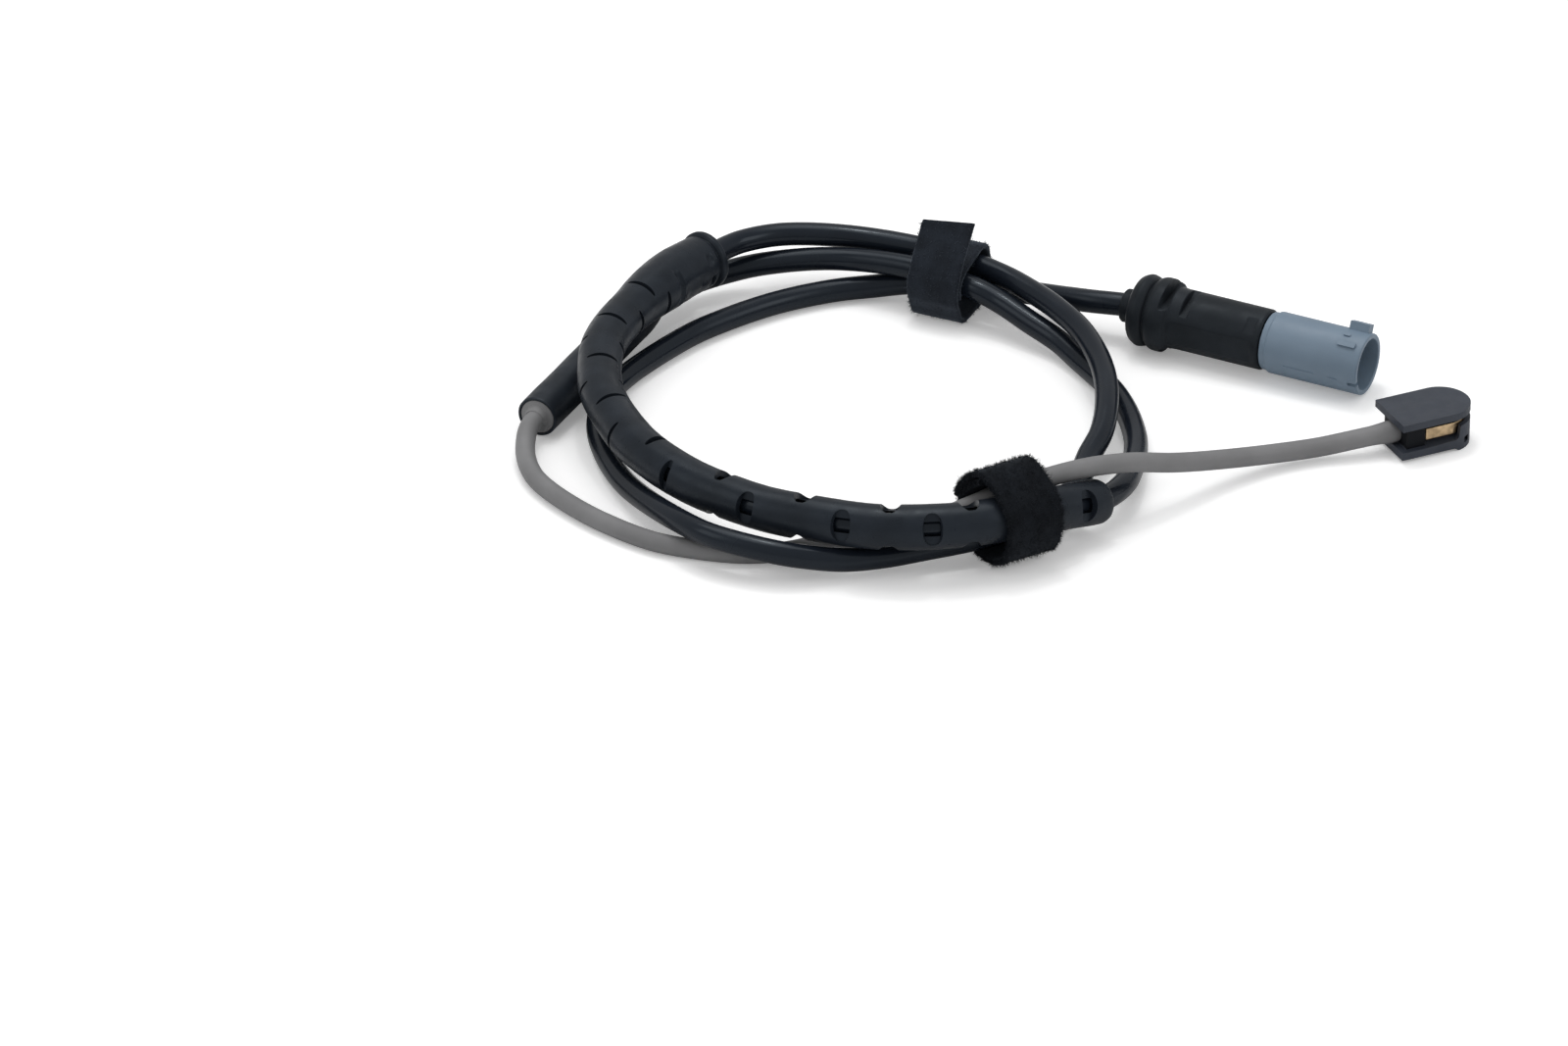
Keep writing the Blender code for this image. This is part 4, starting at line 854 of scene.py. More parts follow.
class SENSOR_OT_pins(bpy.types.Operator):
    """Contact pins in the socket, and the finish of the cores behind them"""

    bl_idname = "sensor.pins"
    bl_label = "Contact pins"

    BORE_RADIUS, BORE_DEPTH = 1.0 * MM, 3.0 * MM
    HIDDEN = (("plug_core_", "core_insulation"), ("black_core_", "core_insulation"),
              ("grey_core_", "core_insulation"), ("splice_crimp_", "contact_metal"))

    def execute(self, context):
        floor = PLUG_LENGTH - SOCKET_DEPTH
        back = floor - SOCKET_FLOOR
        radius, barrel = PIN_DIAMETER / 2, BARREL_DIAMETER / 2
        tip, tail = floor + PIN_REACH, back - PIN_TAIL
        corners = [(tip, 0.0), (tip, radius * 0.5), (tip - 1.2 * MM, radius), (back - 0.7 * MM, radius),
                   (tail + 4.0 * MM, barrel), (tail, barrel), (tail, self.BORE_RADIUS),
                   (tail + self.BORE_DEPTH, self.BORE_RADIUS), (tail + self.BORE_DEPTH, 0.0)]
        profile = softened(corners, 0.25 * MM, 5, closed=False)
        for name, side in (("pin_1", -1), ("pin_2", 1)):
            grid = turned(PLUG, profile, 32, across=side * PIN_SPACING / 2)
            piece(name, surface(name, grid), "contact_metal", (f"contact_{name}",))
        for stem, finish_name in self.HIDDEN:
            for number in "12":
                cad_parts[stem + number].material_slots[0].material = get_finish(finish_name)
        return {"FINISHED"}


class SENSOR_OT_sleeve(bpy.types.Operator):
    """Moulded sleeve: lip, groove, swollen mouth and crossed pairs of notches"""

    bl_idname = "sensor.sleeve"
    bl_label = "Protective sleeve"

    STEP = 0.9 * MM
    SIDES = 72
    END_TRIM = 1.1 * MM
    MOUTH_READ, MOUTH_POINTS = 22.0 * MM, 90
    # Crease and pits of the mouth: station in millimetres, angle in degrees, half length, half spread in
    # degrees, and depth
    MARKS = ((16.3, 170, 1.0, 48, 0.75), (10.5, 205, 5.0, 42, 0.35), (4.3, 200, 1.1, 16, 1.0),
             (4.9, 146, 1.3, 13, 0.45))
    # Share of the mouth's length, and how far the radius has swollen towards the lip's there
    SWELL = ((0.0, 0.6), (0.1, 0.68), (0.3, 0.92), (0.42, 0.88), (0.55, 0.72), (0.7, 0.44), (0.85, 0.14),
             (1.0, 0.0))
    SLOT_STATIONS = (21.6, 26.0, 33.0, 39.8, 47.3, 55.2, 63.4, 71.5, 80.9, 91.3, 99.6, 111.4, 119.6,
                     130.4, 139.7, 148.7, 157.0, 164.8, 174.2, 182.8, 190.9)
    SLOT_DEPTH = 1.55 * MM
    # Width of a notch at its floor and outside, as shares of its opening
    FLOOR_SHARE, OUTER_SHARE = 0.8, 1.25
    # Roundness of a notch's corners: 1 is an ellipse, less is nearer to a rectangle
    CORNER = 2.0 / 2.8
    # The notches' turn about the route, in degrees, at these stations
    TURN_STATIONS = (25.0, 40.0, 55.0, 71.0, 80.0, 105.0)
    TURNS = (14.0, 8.0, 12.0, -6.0, 12.0, 21.0)

    def execute(self, context):
        line = sleeve_route(self.STEP)
        length = distances(line)[-1] - self.END_TRIM
        even = np.linspace(0.0, length, round(length / self.STEP))
        mouth = np.linspace(0.0, self.MOUTH_READ, self.MOUTH_POINTS)
        s = np.unique(np.concatenate([mouth, [length - 0.25 * MM], even]))
        centre = read_line(line, s)
        radii = self.outer_radius(s, length)
        wall = SLEEVE_WALL + 0.25 * MM * (1.0 - smooth_step(s, 1.5 * MM, 12.0 * MM))
        inner = np.minimum(self.even_radius(s) - wall, radii - 0.7 * MM)
        inner = inner + 0.25 * MM * (1.0 - smooth_step(s, 0.0, 0.4 * MM))
        outside = swept(centre, radii, self.SIDES, ends=False)
        inside = swept(centre, inner, self.SIDES, ends=False)[::-1]
        ripple = (wave_noise(outside, 17.0 * MM, 3) * 0.09 * MM - self.marks(s))[..., None]
        outside = outside + (outside - centre[:, None]) / radii[:, None, None] * ripple
        base = surface("sleeve", np.concatenate([outside, inside]), wrap_rows=True)
        data = tidy(combined(base, [(self.slots(line), "DIFFERENCE")]), sharp=40)
        made = piece("slotted_sleeve", data, "sleeve_rubber", ("protective_sleeve",))
        bevel(made, 0.2 * MM, 2, 48)
        return {"FINISHED"}

    def marks(self, s):
        """How far the crease and the pits go in, at each station and angle."""
        angle = angles_round(self.SIDES)
        depth = np.zeros((len(s), self.SIDES))
        for station, middle, reach, half_spread, deep in self.MARKS:
            reach, half_spread = reach * MM, math.radians(half_spread)
            off = np.abs(wrapped(angle - math.radians(middle)))
            along = 1.0 - smooth_step(np.abs(s - station * MM), 0.35 * reach, reach)
            around = 1.0 - smooth_step(off, 0.5 * half_spread, half_spread)
            depth += deep * MM * along[:, None] * around[None]
        return depth

    def even_radius(self, s):
        """Radius without the lip: the mouth's swelling, evened by two running means, then even."""
        body = sizes().sleeve_radius
        knots, shares = np.transpose(self.SWELL)
        steps = np.linspace(0.0, MOUTH_LENGTH, 65)
        share = np.interp(steps, knots * MOUTH_LENGTH, shares)
        for _ in range(2):
            share = np.convolve(np.pad(share, 4, mode="edge"), np.ones(9) / 9, mode="valid")
        return body + (LIP_RADIUS - body) * np.interp(s, steps, share)

    def outer_radius(self, s, length):
        """Even radius, with the lip standing out, the groove behind it and a rounded far end."""
        even = self.even_radius(s)
        width = LIP_WIDTH
        lip = smooth_step(s, -0.05 * MM, 0.35 * MM)
        lip = lip * (1.0 - smooth_step(s, width - 0.15 * MM, width + 0.25 * MM))
        groove = smooth_step(s, width - 0.1 * MM, width + 0.3 * MM)
        groove = groove * (1.0 - smooth_step(s, width + 0.5 * MM, width + 1.0 * MM))
        radius = even - 0.35 * MM * groove + (LIP_RADIUS - even) * lip
        return radius - 0.3 * MM * smooth_step(s, length - 0.6 * MM, length)

    def slots(self, line):
        """Pairs of notches from outside, by turns at the sides and at top and bottom of the route.

        Each is a bar with a flat floor, SLOT_DEPTH under the surface, that widens outwards.
        """
        stations = np.array(self.SLOT_STATIONS) * MM
        count = len(stations)
        centre = read_line(line, stations)
        forward = unit(read_line(line, stations + 0.5 * MM) - read_line(line, stations - 0.5 * MM))
        side = unit(np.cross(forward, UP))
        up = np.cross(side, forward)
        turn = np.interp(stations, np.array(self.TURN_STATIONS) * MM, self.TURNS)
        c, s = np.cos(np.radians(turn))[:, None], np.sin(np.radians(turn))[:, None]
        side, up = c * side + s * up, c * up - s * side
        upright = (np.arange(count) % 2 == 1)[:, None]
        through, across = np.where(upright, up, side), np.where(upright, side, up)
        opening = np.interp(stations, [SLOTS_START_TO_OPEN, SLOTS_ALL_OPEN],
                            [CLOSED_SLOT_WIDTH, OPEN_SLOT_WIDTH])
        angle = angles_round(32)
        x, y = (np.sign(v) * np.abs(v) ** self.CORNER for v in (np.cos(angle), np.sin(angle)))
        low = self.even_radius(stations) - self.SLOT_DEPTH
        high = np.full(count, 1.5 * sizes().sleeve_radius)
        heights = np.stack([low, low, high, high], axis=1)[:, :, None, None]
        widths = np.array([0.0, self.FLOOR_SHARE, self.OUTER_SHARE, 0.0])[None, :, None, None]
        lengths = np.array([0.0, 1.0, 1.0, 0.0])[None, :, None, None]
        wide = forward[:, None, None] * (x[None] * opening[:, None] / 2)[:, None, :, None]
        tall = across[:, None, None] * (y * SLOT_HEIGHT / 2)[None, None, :, None]
        out = through[:, None, None] * heights
        bars = np.concatenate([centre[:, None, None] + facing * out + wide * widths + tall * lengths
                               for facing in (1.0, -1.0)])
        made = bmesh.new()
        for bar in bars:
            data = surface("bar", bar)
            made.from_mesh(data)
            bpy.data.meshes.remove(data)
        data = bpy.data.meshes.new("slot_bars")
        made.to_mesh(data)
        made.free()
        return data


class SENSOR_OT_splice(bpy.types.Operator):
    """Black tube over the joint, and the grey seal in its lower mouth"""

    bl_idname = "sensor.splice"
    bl_label = "Splice"

    MOUTH_WALL = 0.6 * MM

    def execute(self, context):
        outer, inner = SPLICE_RADIUS, SPLICE_RADIUS - SPLICE_WALL
        length = SPLICE_LENGTH
        neck = sizes().cable_diameter / 2 + CLEARANCE
        mouth = outer - self.MOUTH_WALL
        corners = [(0.0, neck), (0.0, neck + SPLICE_WALL), (SPLICE_NECK, outer), (length, outer),
                   (length, mouth), (length - 1.6 * MM, mouth), (length - 2.4 * MM, inner),
                   (SPLICE_NECK + 1.0 * MM, inner), (1.5 * MM, neck)]
        reach = np.array([0.3, 0.9, 1.6, 0.3, 0.15, 0.3, 0.3, 0.5, 0.5]) * MM
        profile = softened(corners, reach, 6)
        profile = evenly(np.vstack([profile, profile[:1]]), 0.35 * MM)[:-1]
        grid = turned(SPLICE, profile, 56)
        centre = SPLICE(np.column_stack([profile[:, 0], np.zeros((len(profile), 2))]))[:, None]
        grid = grid + (grid - centre) * (wave_noise(grid, 14.0 * MM, 8) * 0.014)[..., None]
        piece("splice_tube", surface("splice_tube", grid, wrap_rows=True), "splice_rubber",
              ("splice_sleeve",))
        self.add_seal(inner - CLEARANCE / 2, mouth - 0.05 * MM, length)
        return {"FINISHED"}

    def add_seal(self, radius, mouth, length):
        """Grey seal that fills the tube's mouth and runs out in a low cone on the lead."""
        lead = sizes().lead_diameter / 2 + 0.02 * MM
        near, far = length - 0.7 * MM - SEAL_LENGTH, length - 0.1 * MM
        corners = [(near, lead), (near, radius), (far - 2.4 * MM, radius), (far - 1.5 * MM, mouth),
                   (far, mouth), (far + 0.3 * MM, lead + 0.6 * MM), (far + 1.6 * MM, lead)]
        profile = softened(corners, 0.25 * MM, 5)
        piece("splice_seal_face", surface("splice_seal_face", turned(SPLICE, profile, 48), wrap_rows=True),
              "grey_jacket", ("splice_seal",))


class SENSOR_OT_head(bpy.types.Operator):
    """Fork head: a side outline cut to a round-nosed plan, with its bore, trough and notch"""

    bl_idname = "sensor.head"
    bl_label = "Fork head"

    def execute(self, context):
        half = HEAD_WIDTH / 2
        side = softened(self.side_outline(), self.side_reach(), 4)
        base = prism("head", side, 1, -half - OVER, half + OVER, HEAD)
        deep = WEB_START + LEAD_IN_WEB + CLEARANCE
        radius = sizes().lead_diameter / 2 * SENSOR_OT_cables.FLARE + 0.05 * MM
        drill = [(-OVER, 0.0), (-OVER, radius), (deep, radius), (deep, 0.0)]
        bore = turned(HEAD, drill, 40, up=HEAD_HEIGHT / 2)
        trough = box_grid((deep - 0.6 * MM, -TROUGH_WIDTH / 2, TROUGH_FLOOR),
                          (TROUGH_LENGTH, TROUGH_WIDTH / 2, HEAD_HEIGHT / 2), 0.5 * MM)
        notch = box_grid((HEAD_LENGTH - 3.4 * MM, -HEAD_WIDTH, 1.2 * MM),
                         (HEAD_LENGTH - 2.1 * MM, -2.9 * MM, 2.6 * MM), 0.3 * MM)
        tools = [(prism("plan", self.plan(), 2, -OVER, HEAD_HEIGHT + OVER, HEAD), "INTERSECT"),
                 (surface("bore", bore), "DIFFERENCE"), (surface("trough", HEAD(trough)), "DIFFERENCE"),
                 (surface("notch", HEAD(notch)), "DIFFERENCE"), (self.pocket(), "DIFFERENCE")]
        tools += [(self.web_side(near, far), "DIFFERENCE")
                  for near, far in ((half - WEB_INSET, half + OVER), (-half - OVER, WEB_INSET - half))]
        made = piece("fork_head", tidy(combined(base, tools)), "head_plastic",
                     ("sensor_head",))
        self.paint_web_shade(made.data)
        bevel(made, 0.22 * MM, 3, 40)
        return {"FINISHED"}

    def paint_web_shade(self, data):
        """Paints the faces of the web, between the arms, near black: painted shade in the recess under the
        top plate.
        """
        data.materials.append(get_finish("web_rubber"))
        centres = np.empty(len(data.polygons) * 3)
        data.polygons.foreach_get("center", centres)
        local = (centres.reshape(-1, 3) - HEAD.origin) @ HEAD.turn
        low, high = FOOT_STEP + LOW_PLATE, HEAD_HEIGHT - TOP_PLATE
        inside = ((local[:, 0] > WEB_START - SKIN) & (local[:, 0] < WEB_START + WEB_LENGTH + SKIN)
                  & (local[:, 2] > low + SKIN) & (local[:, 2] < high - SKIN))
        data.polygons.foreach_set("material_index", inside.astype(np.int32))

    def pocket(self):
        """Round pocket inside the nose's rim: a circle carried up from the lower arm."""
        angle = angles_round(72)
        radius, low = HEAD_WIDTH / 2 - RIM_WALL, FOOT_STEP + LOW_PLATE + ARM_RISE
        middle = HEAD_LENGTH - HEAD_WIDTH / 2
        circle = np.column_stack([middle + radius * np.cos(angle), radius * np.sin(angle)])
        return prism("pocket", circle, 2, low, low + RIM_HEIGHT, HEAD)

    def web_side(self, near, far):
        """Room beside the web: a block between the two arms."""
        low, high = FOOT_STEP + LOW_PLATE, HEAD_HEIGHT - TOP_PLATE
        room = box_grid((-1.0 * MM, near, low), (WEB_START + WEB_LENGTH + 0.4 * MM, far, high), 0.3 * MM)
        return surface("web_side", HEAD(room))

    def plan(self):
        """Square back with small corner rounds and a half round nose."""
        half = HEAD_WIDTH / 2
        nose = HEAD_LENGTH - half
        angle = np.linspace(0.0, math.pi, 41)
        arc = np.column_stack([nose + half * np.sin(angle), half * np.cos(angle)])
        return np.vstack([[(0.0, half)], arc, [(0.0, -half)]])

    def side_outline(self):
        """The head from the side: top plate, web, lower arm with the nose's rim, and stepped foot."""
        over = OVER
        top, under = HEAD_HEIGHT, HEAD_HEIGHT - TOP_PLATE
        low = FOOT_STEP + LOW_PLATE
        web = WEB_START + WEB_LENGTH
        end = HEAD_LENGTH + over
        foot = 0.68 * HEAD_LENGTH
        rim = HEAD_LENGTH - RIM_REACH
        return np.array([
            (-over, top), (end, top), (end, under), (web, under), (web, low),
            (rim - 0.4 * MM, low + ARM_RISE), (rim, low + RIM_HEIGHT), (end, low + RIM_HEIGHT),
            (end, 0.6 * MM), (HEAD_LENGTH - 0.8 * MM, 0.0), (foot + 0.9 * MM, 0.0), (foot, FOOT_STEP),
            (-over, FOOT_STEP), (-over, low), (WEB_START, low), (WEB_START, under), (-over, under)])

    def side_reach(self):
        """How far each corner of the side outline is softened."""
        return np.array([0.01, 0.01, 0.01, 0.4, 0.4, 0.8, 0.3, 0.01, 0.01, 0.8, 0.3, 0.3,
                         0.01, 0.01, 0.3, 0.3, 0.01]) * MM


class SENSOR_OT_head_metal(bpy.types.Operator):
    """Brass strip between the fork's arms, and the wear loop in its trough"""

    bl_idname = "sensor.head_metal"
    bl_label = "Strip and wear loop"

    def execute(self, context):
        self.add_strip()
        self.add_loop()
        return {"FINISHED"}

    def half_round(self, turn_at, radius, count):
        """A half circle in plan round the station, from one side of the head to the other."""
        angle = np.linspace(0.0, math.pi, count)
        return np.column_stack([turn_at + radius * np.sin(angle), radius * np.cos(angle)])

    def add_strip(self):
        """U in plan, its flat section carried round as a rounded band."""
        start = WEB_START + WEB_LENGTH + CLEARANCE
        radius = HEAD_WIDTH / 2 - WEB_INSET - STRIP_THICKNESS / 2
        arc = self.half_round(HEAD_LENGTH - HEAD_WIDTH / 2, radius, 33)
        line = evenly(np.vstack([[(start, radius)], arc, [(start, -radius)]]), 0.25 * MM)
        run = unit(np.gradient(line, axis=0))
        out = np.column_stack([-run[:, 1], run[:, 0]])
        low = (FOOT_STEP + LOW_PLATE + HEAD_HEIGHT - TOP_PLATE - STRIP_HEIGHT) / 2
        section = softened([(-0.5, 0.0), (0.5, 0.0), (0.5, 1.0), (-0.5, 1.0)], 0.12, 4)
        grid = np.empty((len(line), len(section), 3))
        grid[..., :2] = line[:, None] + out[:, None] * (section[:, 0] * STRIP_THICKNESS)[None, :, None]
        grid[..., 2] = low + section[:, 1] * STRIP_HEIGHT
        closed = capped(grid)
        along = np.linspace(0.0, distances(line)[-1], len(closed))
        around = np.linspace(0.0, 2 * STRIP_HEIGHT, len(section))
        piece("brass_strip", surface("brass_strip", HEAD(closed), along=along, around=around),
              "brass_strip", ("spring_strip",))

    def add_loop(self):
        """Wire that comes down from the web along the trough and turns back at its end."""
        start = WEB_START + LEAD_IN_WEB + 2 * CLEARANCE
        height = TROUGH_FLOOR + CLEARANCE + LOOP_DIAMETER / 2
        turn_at = TROUGH_LENGTH - CLEARANCE - LOOP_RADIUS - LOOP_DIAMETER / 2
        leg = np.array([(start, LOOP_RADIUS, height + 0.9 * MM),
                        (start + 1.2 * MM, LOOP_RADIUS, height + 0.5 * MM),
                        (start + 2.6 * MM, LOOP_RADIUS, height), (turn_at, LOOP_RADIUS, height)])
        arc = self.half_round(turn_at, LOOP_RADIUS, 13)[1:-1]
        arc = np.column_stack([arc, np.full(len(arc), height)])
        line = evenly(np.vstack([leg, arc, leg[::-1] * (1.0, -1.0, 1.0)]), 0.3 * MM)
        piece("wear_wire", surface("wear_wire", swept(HEAD(line), LOOP_DIAMETER / 2, 16)), "brass_strip",
              ("wear_loop",))


class SENSOR_OT_straps(bpy.types.Operator):
    """The two cloth straps and their fuzz"""

    bl_idname = "sensor.straps"
    bl_label = "Cloth straps"

    LINE_STEP = 0.28 * MM
    UPPER_FIBRES, LOWER_FIBRES = 1500, 7000
    UPPER_ROUGH, LOWER_ROUGH = 0.06 * MM, 0.16 * MM
    # Where the strap's line starts, and the share of a turn that its second layer covers
    UPPER_START, LOWER_START = math.radians(180), math.radians(75)
    UPPER_LAP, LOWER_LAP = 4 / 36, 8 / 36
    TURN_POINTS = 720
    HELD_STEP = 0.5 * MM
    FIBRE_RADIUS, FIBRE_TAPER = 0.06 * MM, 0.75
    EDGE_WEIGHT, FACE_WEIGHT = 5.0, 1.0

    def execute(self, context):
        self.held = self.held_lines()
        upper = (UPPER_STRAP, UPPER_STRAP_TURN, UPPER_STRAP_WIDTH, UPPER_STRAP_THICKNESS)
        lower = (LOWER_STRAP, LOWER_STRAP_TURN, LOWER_STRAP_WIDTH, LOWER_STRAP_THICKNESS)
        line = self.line_round(upper, STRAP_SLACK, self.UPPER_START, self.UPPER_LAP)
        foot = line[-1, 0]
        tail = [(foot + 0.1 * MM, TAIL_BEND), (foot + 0.2 * TAIL_LEAN, TAIL_BEND + 2.2 * MM),
                (foot + TAIL_LEAN, TAIL_TOP)]
        self.add_strap("upper_strap", upper, np.vstack([line, tail]), 11, self.UPPER_ROUGH,
                       self.UPPER_FIBRES, TAIL_SLANT)
        line = self.line_round(lower, (0.0, 0.0, LOWER_STRAP_ROUND), self.LOWER_START, self.LOWER_LAP)
        self.add_strap("lower_strap", lower, line, 12, self.LOWER_ROUGH, self.LOWER_FIBRES)
        return {"FINISHED"}

    def held_lines(self):
        """The cables' and the sleeve's lines, each with its radius."""
        black, _, _ = black_route(self.HELD_STEP)
        return ((black, sizes().cable_diameter / 2),
                (lead_route(self.HELD_STEP), sizes().lead_diameter / 2),
                (sleeve_route(self.HELD_STEP), sizes().sleeve_radius))

    def flat_axes(self, turn):
        """Forward and side vectors of a strap, turned on the floor from X and Y."""
        c, s = math.cos(turn), math.sin(turn)
        return np.array((c, s, 0.0)), np.array((-s, c, 0.0))

    def line_round(self, strap, extra, start_angle, lap):
        """Outline round all that the strap holds: one turn, then a second layer over its first points.

        The outline is the hull of the circles that the held lines make in the strap's plane, and of one
        extra circle (across, up, radius) where the cloth is slack.
        """
        place, turn, width, thickness = strap
        forward, side = self.flat_axes(turn)
        circles = [np.array([extra])]
        grip = CLEARANCE + CHORD_SAG / 2
        for line, radius in self.held:
            offset = line - place
            near = np.abs(offset @ forward) < width / 2 + 1.0 * MM
            offset = offset[near & (np.linalg.norm(offset, axis=1) < STRAP_REACH)]
            radii = np.full(len(offset), radius + grip)
            circles.append(np.column_stack([offset @ side, offset[:, 2], radii]))
        circles = np.vstack(circles)
        angle = angles_round(72)
        ring = np.stack([np.cos(angle), np.sin(angle)], 1)[None]
        spots = (circles[:, None, :2] + circles[:, None, 2:] * ring).reshape(-1, 2)
        hull = spots[convex_hull_2d(spots.tolist())]
        return self.one_turn(hull, start_angle, lap, thickness)

    def one_turn(self, hull, start_angle, lap, thickness):
        """The hull read clockwise from the start angle, evened by three means, lifted where it laps."""
        closed = np.vstack([hull, hull[:1]])
        area = np.sum(closed[:-1, 0] * closed[1:, 1] - closed[1:, 0] * closed[:-1, 1])
        closed = closed[::-1] if area > 0 else closed
        total = distances(closed)[-1]
        spots = read_line(closed, np.linspace(0.0, total, self.TURN_POINTS, endpoint=False))
        middle = spots.mean(axis=0)
        angles = np.arctan2(spots[:, 1] - middle[1], spots[:, 0] - middle[0])
        first = int(np.argmin(np.abs(np.angle(np.exp(1j * (angles - start_angle))))))
        spots = np.roll(spots, -first, axis=0)[::4]
        for _ in range(3):
            spots = (np.roll(spots, 1, axis=0) + 2 * spots + np.roll(spots, -1, axis=0)) / 4
        runs = np.roll(spots, -1, axis=0) - np.roll(spots, 1, axis=0)
        normals = unit(np.stack([-runs[:, 1], runs[:, 0]], 1))
        layer = thickness + CLEARANCE * 1.4
        share = np.clip((np.arange(len(spots)) / len(spots) - LIFT_START) / LIFT_LENGTH, 0.0, 1.0)
        again = round(lap * len(spots)) - 4
        return np.vstack([spots + normals * (layer * share ** 2)[:, None],
                          spots[:again] + normals[:again] * layer])

    def add_strap(self, node, strap, line, seed, rough, fibres, slant=0.0):
        """A flat section with round edges carried along the line, its end cut on the slant."""
        place, turn, width, thickness = strap
        line = evenly(softened(line, 1.2 * MM, 5, closed=False), self.LINE_STEP)
        total = distances(line)[-1]
        runs = unit(np.gradient(line, axis=0))
        normals = np.stack([-runs[:, 1], runs[:, 0]], 1)
        half = width / 2
        section = softened([(-half, 0.0), (half, 0.0), (half, thickness), (-half, thickness)],
                           0.45 * thickness, 6)
        section = evenly(np.vstack([section, section[:1]]), 0.3 * MM)[:-1]
        ramp = slant * smooth_step(distances(line), total - 4.0 * MM, total)
        shift = ramp[:, None] * (section[:, 0] / width + 0.5)[None]
        flat = line[:, None] + normals[:, None] * section[None, :, 1:] + runs[:, None] * shift[..., None]
        forward, side = self.flat_axes(turn)
        grid = place + forward * section[None, :, :1] + side * flat[..., :1] + np.array(UP) * flat[..., 1:]
        out = unit(grid - grid.mean(axis=1, keepdims=True))
        outer = (section[:, 1] > 0.6 * thickness) | (np.abs(section[:, 0]) > half - 0.3 * MM)
        bump = wave_noise(grid, 2.2 * MM, seed)[..., None] * rough * outer[None, :, None]
        grid = grid + out * bump
        closed = capped(grid)
        name, cloth = f"{node}_cloth", node.replace("strap", "cloth")
        data = surface(name, closed, along=np.linspace(0.0, total, len(closed)),
                       around=np.linspace(0.0, 2 * width, len(section)))
        made = piece(name, data, cloth, (node,))
        fuzz = self.add_fuzz(f"{node}_fuzz", cloth, grid, section, half, thickness, seed, fibres)

    def add_fuzz(self, name, cloth, grid, section, half, thickness, seed, fibres):
        """Short bent fibres on the outer face, most of them at its two edges.

        Each is a three-sided spine of four rings: start times t, plus 0.6 times bend times t squared.
        """
        random = np.random.default_rng(seed)
        edge = np.abs(section[:, 0]) > half - 0.5 * MM
        face = section[:, 1] > 0.9 * thickness
        weight = np.where(edge & (section[:, 1] > 0.3 * thickness), self.EDGE_WEIGHT,
                          np.where(face, self.FACE_WEIGHT, 0.0))
        columns = random.choice(len(section), fibres, p=weight / weight.sum())
        rows = random.integers(2, len(grid) - 2, fibres)
        base = grid[rows, columns]
        out = base - grid[rows].mean(axis=1)
        loose = np.where(edge[columns], 1.0, 0.7)[:, None]
        across = grid[rows, (columns + 1) % len(section)] - grid[rows, columns - 1]
        run = grid[rows + 1, columns] - grid[rows - 1, columns]
        normal = unit(np.cross(run, across))
        normal *= np.sign(np.sum(normal * out, axis=1))[:, None]
        start = unit(normal + random.normal(scale=0.5, size=(fibres, 3)) * loose)
        bend = random.normal(scale=0.7, size=(fibres, 3))
        length = sizes().fuzz_length * random.uniform(0.5, 1.1, fibres)[:, None]
        t = np.linspace(0.0, 1.0, 4)[:, None, None]
        spine = base + (start * t + bend * t * t * 0.6) * length
        above = spine[..., 2].min(axis=0) > 0.1 * MM
        spine, start, fibres = spine[:, above], start[above], int(above.sum())
        radius = self.FIBRE_RADIUS * (1.0 - self.FIBRE_TAPER * t)
        a = unit(np.cross(start, (0.3, 0.5, 0.81)))
        b = np.cross(start, a)
        angle = angles_round(3)[:, None]
        ring = a[:, None] * np.cos(angle) + b[:, None] * np.sin(angle)
        reach = ring[:, None] * radius.transpose(1, 0, 2)[:, :, None]
        points = spine.transpose(1, 0, 2)[:, :, None] + reach
        quads = [(3 * r + k, 3 * r + (k + 1) % 3, 3 * r + 3 + (k + 1) % 3, 3 * r + 3 + k)
                 for r in range(3) for k in range(3)]
        shift = (np.arange(fibres) * 12)[:, None, None]
        faces = (np.array(quads)[None] + shift).reshape(-1, 4).tolist()
        faces += (np.array([(0, 2, 1), (9, 10, 11)])[None] + shift).reshape(-1, 3).tolist()
        data = bpy.data.meshes.new(name)
        data.from_pydata(points.reshape(-1, 3), [], faces)
        data.shade_smooth()
        shape = bmesh.new()
        shape.from_mesh(data)
        bmesh.ops.recalc_face_normals(shape, faces=shape.faces)
        shape.to_mesh(data)
        shape.free()
        return piece(name, data, cloth)


class SENSOR_PT_panel(bpy.types.Panel):
    """Sidebar panel with the sensor's steps"""

    bl_idname = "SENSOR_PT_panel"
    bl_label = "Wear sensor"
    bl_space_type = "VIEW_3D"
    bl_region_type = "UI"
    bl_category = "Wear sensor"

    def draw(self, context):
        column = self.layout.column()
        for step in STEPS:
            column.operator(step.bl_idname)
        for name in ("cable_diameter", "lead_diameter", "sleeve_radius", "fuzz_length"):
            column.prop(context.scene.sensor_sizes, name)
        for name in ("cable", "lead", "sleeve", "body", "shroud", "head", "strap"):
            column.prop(context.scene.sensor_colours, name)


STEPS = (SENSOR_OT_stage, SENSOR_OT_cables, SENSOR_OT_plug_body, SENSOR_OT_plug_shroud, SENSOR_OT_pins,
         SENSOR_OT_sleeve, SENSOR_OT_splice, SENSOR_OT_head, SENSOR_OT_head_metal, SENSOR_OT_straps)
CLASSES = (SensorSizes, SensorColours, *STEPS, SENSOR_PT_panel)


def register():
    for item in CLASSES:
        bpy.utils.register_class(item)
    bpy.types.Scene.sensor_sizes = PointerProperty(type=SensorSizes)
    bpy.types.Scene.sensor_colours = PointerProperty(type=SensorColours)


def unregister():
    del bpy.types.Scene.sensor_colours
    del bpy.types.Scene.sensor_sizes
    for item in reversed(CLASSES):
        bpy.utils.unregister_class(item)


def main():
    register()
    for step in STEPS:
        group, name = step.bl_idname.split(".")
        getattr(getattr(bpy.ops, group), name)()


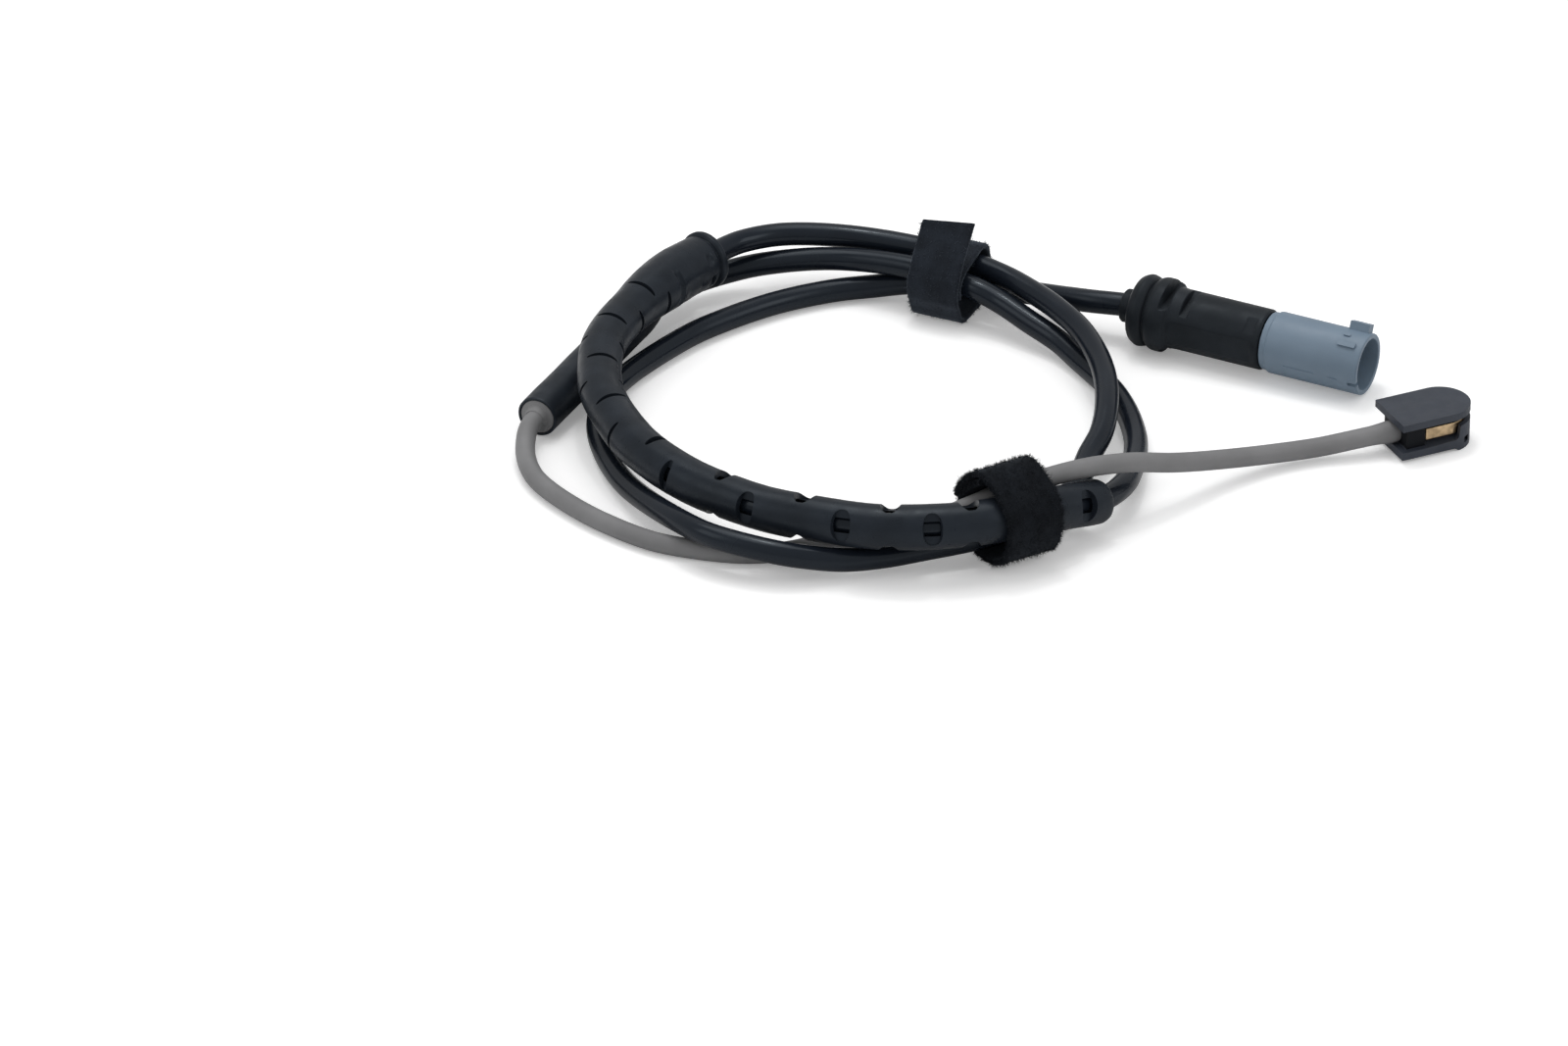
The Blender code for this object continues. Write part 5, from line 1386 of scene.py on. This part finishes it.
if __name__ == "__main__":
    main()
